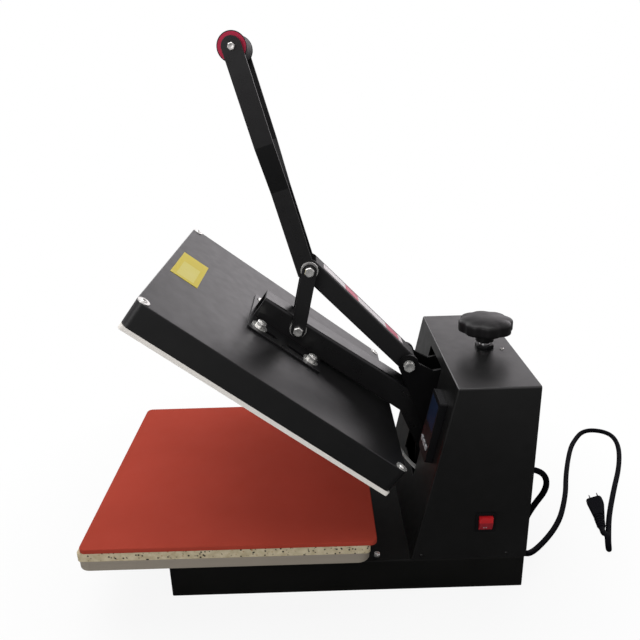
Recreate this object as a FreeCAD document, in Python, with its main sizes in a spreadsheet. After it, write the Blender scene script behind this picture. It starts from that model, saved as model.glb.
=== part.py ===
import FreeCAD, Part

import math
import os

import Sketcher

# A flat clamshell heat press: a long sheet-metal base and rear housing carry a fixed lower table with
# a foam mat, and a heated upper platen that swings down onto it on a hinged arm.  A long handle and
# a pair of short legs work the arm.  Row frame: +X is the side with the power switch, +Y points to
# the rear housing, +Z is up; the origin is under the middle of the machine, on the floor.
# All sizes are in millimetres and degrees.  The machine is shown open.

Vector = FreeCAD.Vector
Rotation = FreeCAD.Rotation
Placement = FreeCAD.Placement

SIZES = [
    # base and rear housing
    ("base_wide", 273.6, "width of base and housing"),
    ("base_long", 491.8, "length of the base"),
    ("base_high", 49.6, "height of the base above its feet"),
    ("foot_high", 1.5, "thickness of the rubber feet"),
    ("foot_round", 14.0, "radius of a foot"),
    ("foot_inset", 34.0, "foot centre to the edges of the base"),
    ("sheet", 2.0, "sheet metal of base and housing"),
    ("bend_round", 2.6, "outside radius of the bent sheet"),
    ("slip", 0.3, "clearance of pieces that drop into place"),
    ("running", 0.05, "radial clearance of a pin in its bore"),
    ("side_gap", 0.2, "end clearance beside a turning piece"),
    ("housing_back", 210.3, "rear of the housing behind the rear edge of the mat"),
    ("housing_deep", 158.7, "depth of the housing at its foot"),
    ("housing_lean", 54.0, "run of the raked front over its height"),
    ("housing_high", 259.2, "height of the housing on the base"),
    ("housing_over", 1.5, "housing behind the rear of the base"),
    ("cover_recess", 2.6, "rear cover inside the rear edge of the housing"),
    ("cover_lip", 14.0, "width of the lips behind the rear cover"),
    ("top_screw_side", 12.0, "screw in the top from the middle of the housing"),
    ("slot_wide", 86.0, "width of the opening for the arms"),
    ("slot_foot", 71.0, "foot of that opening above the base"),
    ("slot_head", 13.8, "head of that opening below the top of the housing"),
    # lower table
    ("tray_front", 386.0, "front of the tray before the rear edge of the mat"),
    ("tray_back_inset", 8.0, "rear of the tray before the rear edge of the mat"),
    ("tray_thick", 15.0, "thickness of the tray"),
    ("tray_lip", 3.2, "height of the lip along its top"),
    ("tray_lip_over", 1.0, "overhang of that lip"),
    ("tray_round", 17.0, "corner radius of the tray"),
    ("tray_rise", 42.2, "height of the pedestal"),
    ("board_thick", 12.1, "thickness of the pressing board"),
    ("board_front_inset", 3.0, "board behind the front of the tray"),
    ("board_back_inset", 0.5, "board before the rear of the tray"),
    ("board_round", 6.0, "corner radius of the board"),
    ("mat_thick", 6.2, "thickness of the mat"),
    ("mat_long", 380.0, "length of the mat"),
    ("mat_round", 9.0, "corner radius of the mat"),
    ("pedestal_wide", 170.0, "width of the pedestal"),
    ("pedestal_long", 160.0, "length of the pedestal"),
    ("pedestal_sheet", 3.0, "sheet of the pedestal"),
    ("pedestal_flange", 26.0, "width of its bolting flanges"),
    # heated platen
    ("platen_wide", 380.0, "width of platen, mat, board and tray"),
    ("platen_long", 380.0, "length of the platen"),
    ("plate_thick", 6.2, "thickness of the heating plate"),
    ("platen_round", 4.0, "corner radius of the heating plate"),
    ("cover_round", 10.0, "corner radius of the platen cover"),
    ("cover_high", 34.7, "height of the platen cover"),
    ("cover_sheet", 1.5, "sheet of the platen cover"),
    ("blanket_thick", 18.0, "thickness of the insulation"),
    ("blanket_inset", 14.0, "insulation inside the platen edge"),
    ("element_round", 3.2, "radius of the heating element"),
    ("element_pitch", 60.0, "spacing of its runs"),
    ("element_reach", 320.0, "length of its runs with their bends"),
    ("probe_round", 3.0, "radius of the temperature probe"),
    ("probe_long", 42.0, "length of the temperature probe"),
    ("cover_screw_side", 7.6, "cover screw to the side edge"),
    ("cover_screw_end", 8.0, "cover screw to the front or rear edge"),
    ("cover_screw_round", 2.0, "shank radius of a cover screw"),
    ("cover_head_round", 4.4, "head radius of a cover screw"),
    ("cover_head_high", 2.8, "head height of a cover screw with its flange"),
    ("cover_flange_round", 7.5, "radius of the flange under that head"),
    ("cover_flange_high", 1.0, "thickness of that flange"),
    ("pan_head_round", 2.8, "head radius of a housing screw"),
    ("pan_head_high", 1.8, "head height of a housing screw"),
    ("plaque_wide", 100.0, "width of the blank plaque"),
    ("plaque_long", 41.0, "length of the blank plaque"),
    ("plaque_thick", 0.4, "thickness of the blank plaque"),
    ("plaque_front", 10.5, "plaque behind the front edge of the cover"),
    # arm on the platen
    ("open_angle", 37.55, "tilt of the open platen"),
    ("hinge_behind", 102.0, "platen hinge behind the rear edge of the mat"),
    ("hinge_rise", 16.3, "platen hinge above the top of the mat"),
    ("hinge_pin_round", 8.0, "radius of the platen hinge shaft"),
    ("hub_round", 18.0, "radius of the arm's hub"),
    ("arm_wide", 40.0, "width of the arm and the link"),
    ("arm_wall", 4.0, "wall of the arm"),
    ("arm_round", 4.0, "bend radius of the arm"),
    ("arm_front", 244.0, "front of the arm before the rear edge of the plate"),
    ("arm_top_front", 73.6, "top of the arm above the plate, at its front"),
    ("arm_top_back", 83.0, "top of the arm where it cranks down"),
    ("arm_crank_top", -24.0, "top bend of the crank, from the rear edge of the plate"),
    ("arm_crank_under", -11.9, "lower bend of the crank, from the same edge"),
    ("arm_under_back", 46.2, "underside of the arm at the crank"),
    ("arm_pad_wide", 136.0, "width of the arm's base plate"),
    ("arm_pad_front", 248.6, "front of that plate"),
    ("arm_pad_back", 131.0, "rear of that plate"),
    ("arm_pad_thick", 3.0, "thickness of that plate"),
    ("stud_side", 50.0, "studs beside the middle of the platen"),
    ("stud_front", 232.0, "front studs before the rear edge of the plate"),
    ("stud_back", 148.0, "rear studs before that edge"),
    ("stud_round", 4.0, "radius of the studs and the other M8 threads"),
    ("pillar_round", 8.0, "radius of the stud's shoulder"),
    ("stud_long", 12.4, "stud above the platen cover"),
    ("nut_across", 12.0, "across the flats of M8 nuts and heads"),
    ("nut_high", 6.5, "height of an M8 nut"),
    ("head_high", 5.3, "height of an M8 head"),
    ("slim_round", 2.5, "radius of the M5 threads"),
    ("slim_across", 8.0, "across the flats of M5 heads"),
    ("slim_high", 3.5, "height of an M5 head"),
    ("washer_round", 11.5, "radius of the washers"),
    ("washer_thick", 1.6, "thickness of the washers"),
    ("bolt_gap", 0.3, "radial clearance of a bolt in its hole"),
    ("pad_slot_long", 34.0, "length of the slots in the base plate"),
    ("pad_slot_round", 4.5, "half the width of those slots"),
    # linkage
    ("knee_short", 13.6, "lower leg pivot nearer to the rear edge than the link is long"),
    ("knee_rise", 63.6, "lower leg pivot above the underside of the plate"),
    ("leg_long", 85.9, "leg, pivot to pivot"),
    ("leg_half", 10.0, "half the width of a leg"),
    ("leg_thick", 5.0, "thickness of a leg"),
    ("collar_round", 12.0, "radius of the collars beside the legs"),
    ("collar_long", 7.0, "length of those collars"),
    ("link_long", 196.3, "link, pivot to pivot"),
    ("link_half", 13.5, "half the height of the link"),
    ("link_wall", 3.0, "wall of the link"),
    ("link_round", 3.0, "bend radius of the link"),
    ("upper_forward", 42.9, "upper pivot before the platen hinge"),
    ("upper_rise", 152.9, "upper pivot above the platen hinge"),
    ("upper_bolt_round", 5.0, "radius of the upper pivot bolt"),
    ("upper_head_across", 14.0, "across the flats of its head"),
    ("upper_head_high", 6.4, "height of its head"),
    ("bush_round", 9.0, "radius of the bush on that bolt"),
    ("cheek_gap", 2.0, "side plates beside the arm"),
    ("cheek_thick", 5.0, "thickness of the side plates"),
    ("ear_round", 14.6, "radius of the side plates round the upper pivot"),
    ("cheek_flange", 30.0, "width of the feet of the side plates"),
    ("tie_round", 6.0, "radius of the tie rods"),
    # handle
    ("bar_thick", 5.0, "thickness of the handle bars"),
    ("bar_half", 12.2, "half the width of the handle bars"),
    ("bar_long", 290.2, "leg pivot on the handle to the grip"),
    ("bar_set", 5.0, "foot of each handle bar before the leg pivot"),
    ("bar_lean", 27.2, "handle off the line of the link"),
    ("bar_jog_start", 112.0, "start of the outward bend"),
    ("bar_jog_end", 172.0, "end of the outward bend"),
    ("bar_jog", 20.0, "outward bend of each bar"),
    ("disc_round", 18.0, "radius of the grip's end discs"),
    ("disc_thick", 3.0, "thickness of the end discs"),
    ("sleeve_round", 17.5, "radius of the grip sleeve"),
    ("rod_round", 6.0, "radius of the rod in the grip"),
    # pressure screw
    ("screw_inset", 38.6, "pressure screw before the rear of the housing"),
    ("screw_round", 8.0, "radius of the pressure screw"),
    ("screw_pitch", 2.0, "pitch of the pressure screw"),
    ("screw_low", 92.0, "pressure screw below the top of the housing"),
    ("screw_bore_gap", 0.1, "clearance round the pressure screw"),
    ("lock_across", 24.0, "across the flats of the thin lock nut on the housing"),
    ("lock_high", 4.0, "height of that lock nut"),
    ("neck_round", 13.0, "radius of the knob's neck"),
    ("neck_rise", 8.7, "underside of the neck above the housing"),
    ("neck_high", 16.0, "height of the neck"),
    ("knob_round", 38.5, "radius of the knob"),
    ("knob_rim", 16.0, "height of the knob's rim"),
    ("knob_dome", 5.0, "height of the knob's dome"),
    ("lobe_count", 8, "number of grip hollows round the knob"),
    ("lobe_round", 14.0, "radius of a grip hollow"),
    ("lobe_out", 11.2, "centre of a grip hollow beyond the knob"),
    ("carrier_high", 12.0, "height of the block that carries the screw"),
    ("block_high", 24.0, "height of the pressure block"),
    ("block_half", 13.0, "half the length of the pressure block"),
    ("block_rise", 160.0, "underside of the pressure block above the base"),
    # controls
    ("case_side", 65.0, "near edge of the controller from the middle"),
    ("case_wide", 48.0, "width of the controller"),
    ("case_up", 139.7, "foot of the controller up the raked front"),
    ("case_high", 90.0, "height of the controller"),
    ("case_out", 10.5, "controller in front of the housing"),
    ("case_deep", 24.0, "controller inside the housing"),
    ("case_step", 2.0, "step of the controller behind its front"),
    ("case_round", 3.0, "corner radius of the controller"),
    ("window_wide", 40.0, "width of the display"),
    ("window_high", 38.0, "height of the display"),
    ("window_thick", 1.6, "thickness of the display"),
    ("window_up", 45.0, "foot of the display above the foot of the controller"),
    ("key_wide", 9.0, "width of a key"),
    ("key_high", 6.0, "height of a key"),
    ("key_out", 1.6, "key in front of the controller"),
    ("key_deep", 3.0, "key inside the controller"),
    ("key_travel", 1.2, "travel of a key"),
    ("key_pitch", 13.0, "spacing of the keys"),
    ("key_up", 18.0, "middle of the keys above the foot of the controller"),
    ("key_gap", 0.25, "gap round a key"),
    ("switch_fore", 72.8, "front of the switch before the rear of the housing"),
    ("switch_foot", 44.4, "foot of the switch above the base"),
    ("switch_long", 27.0, "length of the switch"),
    ("switch_high", 29.5, "height of the switch"),
    ("switch_flange", 1.8, "switch flange on the housing"),
    ("switch_deep", 18.0, "switch inside the housing"),
    ("switch_rim", 4.0, "rim round the rocker"),
    ("rocker_gap", 0.5, "gap round the rocker"),
    ("rocker_out", 1.8, "ends of the rocker before the flange, set level"),
    ("rocker_ridge", 1.9, "height of the ridge along the middle of its face"),
    ("rocker_deep", 7.0, "rocker behind the flange face"),
    ("rocker_throw", 9.0, "rocker either side of level"),
    # electrics
    ("relay_wide", 60.0, "width of the relay block"),
    ("relay_long", 45.0, "length of the relay block"),
    ("relay_high", 26.0, "height of the relay block"),
    ("wire_round", 2.0, "radius of the internal wires"),
    ("lead_round", 1.6, "radius of a heater lead"),
    ("lead_side", 32.0, "first heater lead from the middle"),
    ("lead_pitch", 8.0, "spacing of the heater leads"),
    ("lead_rise", 17.5, "heater leads above the underside of the plate"),
    ("cord_round", 4.25, "radius of the mains cord"),
    ("gland_round", 8.5, "radius of the cord gland"),
    ("gland_flange", 11.0, "radius of the gland's flange"),
    ("gland_side", 84.0, "gland from the middle"),
    ("gland_rise", 105.2, "gland above the base"),
    ("gland_out", 7.2, "gland behind the rear of the housing"),
    ("gland_in", 9.0, "gland inside the rear cover"),
    ("plug_long", 44.0, "length of the plug's body"),
    ("plug_wide", 25.0, "width of the plug at its face"),
    ("plug_high", 17.0, "height of the plug at its face"),
    ("plug_waist", 15.5, "width of the plug's body at its rear"),
    ("relief_long", 27.0, "length of the plug's strain relief"),
    ("plug_roll", 28.0, "turn of the plug about its own axis, on one long edge"),
    ("blade_pitch", 12.7, "spacing of the blades"),
    ("blade_wide", 6.3, "width of a blade"),
    ("blade_thick", 1.5, "thickness of a blade"),
    ("blade_long", 16.0, "length of a blade"),
]

doc = FreeCAD.newDocument("heat_press")
sheet = doc.addObject("Spreadsheet::Sheet", "Sizes")
for row, (alias, number, note) in enumerate(SIZES, start=1):
    sheet.set("A%d" % row, alias)
    sheet.set("B%d" % row, str(number))
    sheet.set("C%d" % row, note)
    sheet.setAlias("B%d" % row, alias)
doc.recompute()


class Size:
    """A length with the sheet expression that gives it."""

    def __init__(self, text, value):
        self.text = text
        self.value = value

    @staticmethod
    def of(item):
        if isinstance(item, Size):
            return item
        return Size("(%r)" % float(item), float(item))

    def join(self, sign, other, value):
        return Size("(%s %s %s)" % (self.text, sign, Size.of(other).text), value)

    def __add__(self, other):
        return self.join("+", other, self.value + Size.of(other).value)

    def __sub__(self, other):
        return self.join("-", other, self.value - Size.of(other).value)

    def __mul__(self, other):
        return self.join("*", other, self.value * Size.of(other).value)

    def __truediv__(self, other):
        return self.join("/", other, self.value / Size.of(other).value)

    def __radd__(self, other):
        return Size.of(other) + self

    def __rsub__(self, other):
        return Size.of(other) - self

    def __rmul__(self, other):
        return Size.of(other) * self

    def __neg__(self):
        return Size.of(0) - self


class Table:
    """The sheet's sizes by name."""

    def __getattr__(self, alias):
        return Size("Sizes." + alias, float(sheet.get(alias)))


S = Table()
NODES = []
BESIDE = (-1, 1)
HALF = 0.5
HEX_CORNER = 2 * math.cos(math.radians(30))


def number(item):
    """The plain value of a size or a number."""
    return Size.of(item).value


def bind(obj, prop, item):
    """Sets one size of an object, through the sheet where it comes from there."""
    if isinstance(item, Size):
        obj.setExpression(prop, item.text)
    else:
        obj.setExpression(prop, "%r" % float(item))


def put(obj, x, y, z, turn=None):
    """Places an object at a point given by sizes."""
    corner = Vector(number(x), number(y), number(z))
    obj.Placement = Placement(corner, turn or Rotation())
    for axis, item in (("x", x), ("y", y), ("z", z)):
        bind(obj, "Placement.Base." + axis, item)
    return obj


def block(name, x_span, y_span, z_span):
    """A box between two limits on each axis."""
    obj = doc.addObject("Part::Box", name)
    bind(obj, "Length", x_span[1] - x_span[0])
    bind(obj, "Width", y_span[1] - y_span[0])
    bind(obj, "Height", z_span[1] - z_span[0])
    return put(obj, x_span[0], y_span[0], z_span[0])


def along(axis, span, across):
    """Start point and turn of a piece whose own Z runs along a row axis."""
    if axis == "X":
        return (span[0], across[0], across[1]), Rotation(Vector(0, 1, 0), 90)
    if axis == "Y":
        return (across[0], span[0], across[1]), Rotation(Vector(1, 0, 0), -90)
    return (across[0], across[1], span[0]), Rotation()


def rod(name, axis, span, across, radius):
    """A cylinder along a row axis."""
    obj = doc.addObject("Part::Cylinder", name)
    bind(obj, "Radius", radius)
    bind(obj, "Height", span[1] - span[0])
    start, turn = along(axis, span, across)
    return put(obj, *start, turn)


def hexagon(name, axis, span, across, flats):
    """A hexagonal prism along a row axis."""
    obj = doc.addObject("Part::Prism", name)
    obj.Polygon = 6
    bind(obj, "Circumradius", flats / HEX_CORNER)
    bind(obj, "Height", span[1] - span[0])
    start, turn = along(axis, span, across)
    return put(obj, *start, turn)


def cone(name, axis, span, across, radius_start, radius_end):
    """A cone along a row axis."""
    obj = doc.addObject("Part::Cone", name)
    bind(obj, "Radius1", radius_start)
    bind(obj, "Radius2", radius_end)
    bind(obj, "Height", span[1] - span[0])
    start, turn = along(axis, span, across)
    return put(obj, *start, turn)


def fuse(name, *pieces):
    """One solid of several pieces that touch."""
    obj = doc.addObject("Part::MultiFuse", name)
    obj.Shapes = list(pieces)
    obj.Refine = True
    return obj


def cut(name, base, *tools):
    """A piece with others cut away."""
    obj = doc.addObject("Part::Cut", name)
    obj.Base = base
    obj.Tool = tools[0] if len(tools) == 1 else fuse(name + "_tools", *tools)
    return obj


def common(name, base, tool):
    """What two pieces share."""
    obj = doc.addObject("Part::Common", name)
    obj.Base = base
    obj.Tool = tool
    return obj


def group(name, pieces):
    """Separate solids of one kind, kept together."""
    obj = doc.addObject("Part::Compound", name)
    obj.Links = list(pieces)
    return obj


def round_off(name, base, radius, wanted):
    """Rounds the edges that the test picks."""
    doc.recompute()
    obj = doc.addObject("Part::Fillet", name)
    obj.Base = base
    size = number(radius)
    picked = [i for i, edge in enumerate(base.Shape.Edges, start=1) if wanted(edge)]
    obj.Edges = [(i, size, size) for i in picked]
    return obj


def runs(edge, axis):
    """Whether a straight edge runs along an axis of the piece."""
    if not isinstance(edge.Curve, Part.Line):
        return False
    way = edge.tangentAt(edge.FirstParameter)
    return abs(way.dot(axis)) > 0.999


def upright(edge):
    """Whether an edge runs along Z."""
    return runs(edge, Vector(0, 0, 1))


def high(edge, level):
    """Whether an edge lies flat at a height."""
    box = edge.BoundBox
    return abs(box.ZMin - number(level)) < 0.01 and abs(box.ZMax - number(level)) < 0.01


def profile(name, plane, span, outline):
    """A padded polygon on one of the body's own planes."""
    body = doc.addObject("PartDesign::Body", name)
    doc.recompute()
    sketch = body.newObject("Sketcher::SketchObject", name + "_sketch")
    base_plane = [o for o in body.Origin.OriginFeatures if o.Role == plane][0]
    sketch.AttachmentSupport = (base_plane, [""])
    sketch.MapMode = "FlatFace"
    start = -span[1] if plane == "XZ_Plane" else span[0]
    sketch.AttachmentOffset = Placement(Vector(0, 0, number(start)), Rotation())
    bind(sketch, "AttachmentOffset.Base.z", start)
    corners = [Vector(number(u), number(v), 0) for u, v in outline]
    for i, corner in enumerate(corners):
        sketch.addGeometry(Part.LineSegment(corner, corners[(i + 1) % len(corners)]), False)
    for i in range(len(corners)):
        sketch.addConstraint(Sketcher.Constraint("Coincident", i, 2, (i + 1) % len(corners), 1))
    for i, (u, v) in enumerate(outline):
        for way, item, kind in (("u", u, "DistanceX"), ("v", v, "DistanceY")):
            index = sketch.addConstraint(Sketcher.Constraint(kind, -1, 1, i, 1, number(item)))
            title = "%s%d" % (way, i)
            sketch.renameConstraint(index, title)
            if isinstance(item, Size):
                sketch.setExpression("Constraints." + title, item.text)
    pad = body.newObject("PartDesign::Pad", name + "_pad")
    pad.Profile = sketch
    bind(pad, "Length", span[1] - span[0])
    body.Tip = pad
    return body


def shaped(name, shape):
    """A piece whose shape is worked out from the sizes."""
    obj = doc.addObject("Part::Feature", name)
    obj.Shape = shape
    return obj


def carried(obj, place):
    """Carries a finished piece from its own frame to its place on the press."""
    doc.recompute()
    for prop, _text in obj.ExpressionEngine:
        if "Placement" in prop:
            obj.setExpression(prop.lstrip("."), None)
    obj.Placement = place.multiply(obj.Placement)
    return obj


def node(obj, place=None):
    """Keeps a piece as a node under its own name."""
    NODES.append(obj if place is None else carried(obj, place))
    return obj


def span(side, inner, outer):
    """A stretch of X on one side of the middle."""
    return (inner, outer) if side > 0 else (-outer, -inner)


def even(half):
    """A stretch that is the same either side of the middle."""
    return (-half, half)


def route(points):
    """Edges, turn radii and length of straight runs joined by tangent arcs."""
    points = [Vector(*p) for p in points]
    edges = []
    radii = []
    last = points[0]
    for before, here, after in zip(points, points[1:], points[2:]):
        back = before - here
        ahead = after - here
        reach = 0.45 * min(back.Length, ahead.Length)
        turn = math.pi - back.getAngle(ahead)
        radius = reach / math.tan(turn / 2)
        back.normalize()
        ahead.normalize()
        start = here + back * reach
        end = here + ahead * reach
        middle = here + (back + ahead).normalize() * (radius / math.cos(turn / 2) - radius)
        edges.append(Part.LineSegment(last, start).toShape())
        edges.append(Part.Arc(start, middle, end).toShape())
        radii.append(radius)
        last = end
    edges.append(Part.LineSegment(last, points[-1]).toShape())
    return edges, radii


def tube(points, radius):
    """A round solid along a route, with the least radius of its turns."""
    edges, radii = route(points)
    wire = Part.Wire(edges)
    first = Vector(*points[1]) - Vector(*points[0])
    ring = Part.Wire([Part.Circle(Vector(*points[0]), first, radius).toShape()])
    shell = wire.makePipeShell([ring], True, False)
    measured = math.pi * radius ** 2 * wire.Length
    print("tube: length %.1f, volume %.0f of %.0f, radii %s"
          % (wire.Length, shell.Volume, measured, [round(r, 1) for r in radii]))
    return shell


# Levels and stations shared by the pieces
half_wide = S.base_wide * HALF
half_platen = S.platen_wide * HALF
mat_back = (S.tray_front - S.housing_back) * HALF
front = mat_back - S.tray_front
rear = mat_back + S.housing_back
base_rear = rear - S.housing_over
base_front = base_rear - S.base_long
base_low = S.foot_high
base_top = base_low + S.base_high
tray_low = base_top + S.tray_rise
tray_top = tray_low + S.tray_thick
board_top = tray_top + S.board_thick
mat_top = board_top + S.mat_thick
housing_top = base_top + S.housing_high
hinge_y = mat_back + S.hinge_behind
hinge_z = mat_top + S.hinge_rise
upper_y = hinge_y - S.upper_forward
upper_z = hinge_z + S.upper_rise
screw_y = rear - S.screw_inset
cheek_in = S.arm_wide * HALF + S.cheek_gap
cheek_out = cheek_in + S.cheek_thick
arm_half = S.arm_wide * HALF
bolt_hole = S.stud_round + S.bolt_gap
bore_8 = S.stud_round + S.running
bore_5 = S.slim_round + S.running


def turned(y, z, about_y, about_z, degrees):
    """A point of the side view after a turn about another."""
    c = math.cos(math.radians(degrees))
    s = math.sin(math.radians(degrees))
    dy = y - about_y
    dz = z - about_z
    return about_y + dy * c - dz * s, about_z + dy * s + dz * c


def meet(ay, az, ar, by, bz, br):
    """The upper point at given distances from two others, in the side view."""
    gap = math.hypot(by - ay, bz - az)
    run = (ar ** 2 - br ** 2 + gap ** 2) / (2 * gap)
    rise = math.sqrt(ar ** 2 - run ** 2)
    uy = (by - ay) / gap
    uz = (bz - az) / gap
    picks = [(ay + run * uy - s * rise * uz, az + run * uz + s * rise * uy) for s in BESIDE]
    return max(picks, key=lambda p: p[1])


def lean(fy, fz, ty, tz):
    """The turn about X that takes +Z onto the line from one point to another."""
    return math.degrees(math.atan2(-(ty - fy), tz - fz))


HY, HZ = hinge_y.value, hinge_z.value
UY, UZ = upper_y.value, upper_z.value
OPEN = S.open_angle.value
knee_before_edge = S.link_long - S.knee_short
KNEE = ((mat_back - knee_before_edge).value, (mat_top + S.knee_rise).value)
knee_open = turned(*KNEE, HY, HZ, -OPEN)
top_open = meet(*knee_open, S.leg_long.value, UY, UZ, S.link_long.value)
top_shut = meet(*KNEE, S.leg_long.value, UY, UZ, S.link_long.value)
link_open = lean(UY, UZ, *top_open)
link_shut = lean(UY, UZ, *top_shut)
leg_open = lean(*knee_open, *top_open)
leg_shut = lean(*KNEE, *top_shut)
lever_ratio = (link_shut - link_open) / OPEN
leg_ratio = (leg_shut - leg_open - OPEN) / OPEN


def tilt(x, y, z, degrees):
    """A placement turned about X."""
    return Placement(Vector(x, y, z), Rotation(Vector(1, 0, 0), degrees))


# The platen's own frame: origin at the middle of the rear lower edge of the plate, -Y to its front
edge_y, edge_z = turned(mat_back.value, mat_top.value, HY, HZ, -OPEN)
PLATEN = tilt(0, edge_y, edge_z, -OPEN)
LEVER = tilt(0, UY, UZ, link_open)
HANDLE = tilt(0, *top_open, link_open - S.bar_lean.value)
LEG = tilt(0, *knee_open, leg_open)
RAKE = math.degrees(math.atan2(S.housing_lean.value, S.housing_high.value))
FRONT = tilt(0, (rear - S.housing_deep).value, base_top.value, -RAKE)

# Base: an open-bottomed box of bent sheet with a flat closing plate, on thin rubber feet
foot_places = [
    (sx * (half_wide - S.foot_inset), y)
    for sx in BESIDE
    for y in (base_front + S.foot_inset, base_rear - S.foot_inset)
]
bolt_seat = S.washer_round * 2
pedestal_mid = mat_back - S.mat_long * HALF
pedestal_y = (pedestal_mid - S.pedestal_long * HALF, pedestal_mid + S.pedestal_long * HALF)
flange_mid = (S.pedestal_wide + S.pedestal_flange) * HALF
cheek_foot_mid = cheek_out + (S.cheek_flange - S.cheek_thick) * HALF
cheek_front = hinge_y - S.hub_round - S.cheek_gap * 2
cheek_rear = screw_y + S.block_half
table_bolts = [
    (sx * flange_mid, y)
    for sx in BESIDE
    for y in (pedestal_y[0] + bolt_seat, pedestal_y[1] - bolt_seat)
]
cheek_bolts = [
    (sx * cheek_foot_mid, y)
    for sx in BESIDE
    for y in (cheek_front + bolt_seat, cheek_rear - bolt_seat)
]
edge_bolts = [
    (sx * (half_wide - S.washer_round), y)
    for sx in BESIDE
    for y in (mat_back + S.washer_round * HALF, base_front + S.washer_round * 2)
]

base_outer = block("base_outer", even(half_wide), (base_front, base_rear), (base_low, base_top))
base_bent = round_off(
    "base_bent", base_outer, S.bend_round, lambda e: upright(e) or high(e, base_top)
)
base_inner = block(
    "base_inner",
    even(half_wide - S.sheet),
    (base_front + S.sheet, base_rear - S.sheet),
    (base_low - S.sheet, base_top - S.sheet),
)
base_shell = cut("base_shell", base_bent, base_inner)
clinch_low = base_top - S.sheet - S.nut_high
clinches = []
clinch_bores = []
threads = [S.stud_round] * len(table_bolts + cheek_bolts) + [S.slim_round] * len(edge_bolts)
for i, (x, y) in enumerate(table_bolts + cheek_bolts + edge_bolts):
    clinches.append(
        rod("clinch_%d" % i, "Z", (clinch_low, base_top - S.sheet), (x, y), S.nut_across * HALF)
    )
    clinch_bores.append(
        rod("clinch_bore_%d" % i, "Z", (clinch_low, base_top), (x, y), threads[i] + S.running)
    )
node(cut("base_channel", fuse("base_with_nuts", base_shell, *clinches), *clinch_bores))

node(
    block(
        "base_bottom_plate",
        even(half_wide - S.sheet - S.slip),
        (base_front + S.sheet + S.slip, base_rear - S.sheet - S.slip),
        (base_low, base_low + S.sheet),
    )
)
node(
    group(
        "base_feet",
        [
            rod("foot_%d" % i, "Z", (Size.of(0), base_low), (x, y), S.foot_round)
            for i, (x, y) in enumerate(foot_places)
        ],
    )
)


M8 = (S.nut_across, S.head_high, S.stud_round)
M5 = (S.slim_across, S.slim_high, S.slim_round)


def bolt(name, axis, seat, across, grip, side=1, thread=M8):
    """A hexagon-headed bolt whose head stands on a seat along an axis."""
    flats, high_head, radius = thread
    head = (seat, seat + high_head) if side > 0 else (seat - high_head, seat)
    shank = (seat - grip, seat) if side > 0 else (seat, seat + grip)
    return fuse(
        name,
        hexagon(name + "_head", axis, head, across, flats),
        rod(name + "_shank", axis, shank, across, radius),
    )


floor_grip = S.sheet + S.nut_high
base_bolts = [
    bolt("table_bolt_%d" % i, "Z", base_top + S.pedestal_sheet, p, floor_grip + S.pedestal_sheet)
    for i, p in enumerate(table_bolts)
]
base_bolts += [
    bolt("cheek_bolt_%d" % i, "Z", base_top + S.cheek_thick, p, floor_grip + S.cheek_thick)
    for i, p in enumerate(cheek_bolts)
]
base_bolts += [
    bolt("edge_bolt_%d" % i, "Z", base_top, p, floor_grip, thread=M5) for i, p in enumerate(edge_bolts)
]
node(group("base_bolts", base_bolts))

# Lower table: pedestal, tray with a lip, pressing board and mat
pedestal_body = block("pedestal_body", even(S.pedestal_wide * HALF), pedestal_y, (base_top, tray_low))
pedestal_foot = block(
    "pedestal_foot",
    even(S.pedestal_wide * HALF + S.pedestal_flange),
    pedestal_y,
    (base_top, base_top + S.pedestal_sheet),
)
pedestal_inside = block(
    "pedestal_inside",
    even(S.pedestal_wide * HALF - S.pedestal_sheet),
    (pedestal_y[0] + S.pedestal_sheet, pedestal_y[1] - S.pedestal_sheet),
    (base_top - S.pedestal_sheet, tray_low - S.pedestal_sheet),
)
pedestal_holes = [
    rod("pedestal_hole_%d" % i, "Z", (base_top, base_top + S.pedestal_sheet), p, bolt_hole)
    for i, p in enumerate(table_bolts)
]
node(
    cut(
        "platen_pedestal",
        fuse("pedestal_shell", pedestal_body, pedestal_foot),
        pedestal_inside,
        *pedestal_holes,
    )
)

tray_y = (front, mat_back - S.tray_back_inset)
tray_lip_low = tray_top - S.tray_lip
tray_lip = round_off(
    "tray_lip_rounded",
    block("tray_lip", even(half_platen), tray_y, (tray_lip_low, tray_top)),
    S.tray_round,
    upright,
)
tray_under = round_off(
    "tray_under_rounded",
    block(
        "tray_under",
        even(half_platen - S.tray_lip_over),
        (tray_y[0] + S.tray_lip_over, tray_y[1] - S.tray_lip_over),
        (tray_low, tray_lip_low),
    ),
    S.tray_round - S.tray_lip_over,
    upright,
)
node(fuse("lower_tray", tray_lip, tray_under))
node(
    round_off(
        "pressing_board",
        block(
            "board_block",
            even(half_platen),
            (tray_y[0] + S.board_front_inset, tray_y[1] - S.board_back_inset),
            (tray_top, board_top),
        ),
        S.board_round,
        upright,
    )
)
mat_rounded = round_off(
    "mat_rounded",
    block("mat_block", even(half_platen), (mat_back - S.mat_long, mat_back), (board_top, mat_top)),
    S.mat_round,
    upright,
)
node(round_off("silicone_mat", mat_rounded, S.mat_thick / 5, lambda e: high(e, mat_top)))

# Rear housing: bent sheet with a raked front, open at the rear behind a screwed cover
housing_foot = rear - S.housing_deep
housing_head = housing_foot + S.housing_lean
lean_per_rise = S.housing_lean / S.housing_high
housing_outer = profile(
    "housing_outer",
    "YZ_Plane",
    even(half_wide),
    [(housing_foot, base_top), (rear, base_top), (rear, housing_top), (housing_head, housing_top)],
)


def housing_bend(edge):
    """The bends of the housing: round its top, and down its front corners."""
    if high(edge, housing_top):
        return edge.BoundBox.YMin < rear.value - 1
    box = edge.BoundBox
    return box.ZLength > 1 and box.YMax < rear.value - 1


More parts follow.
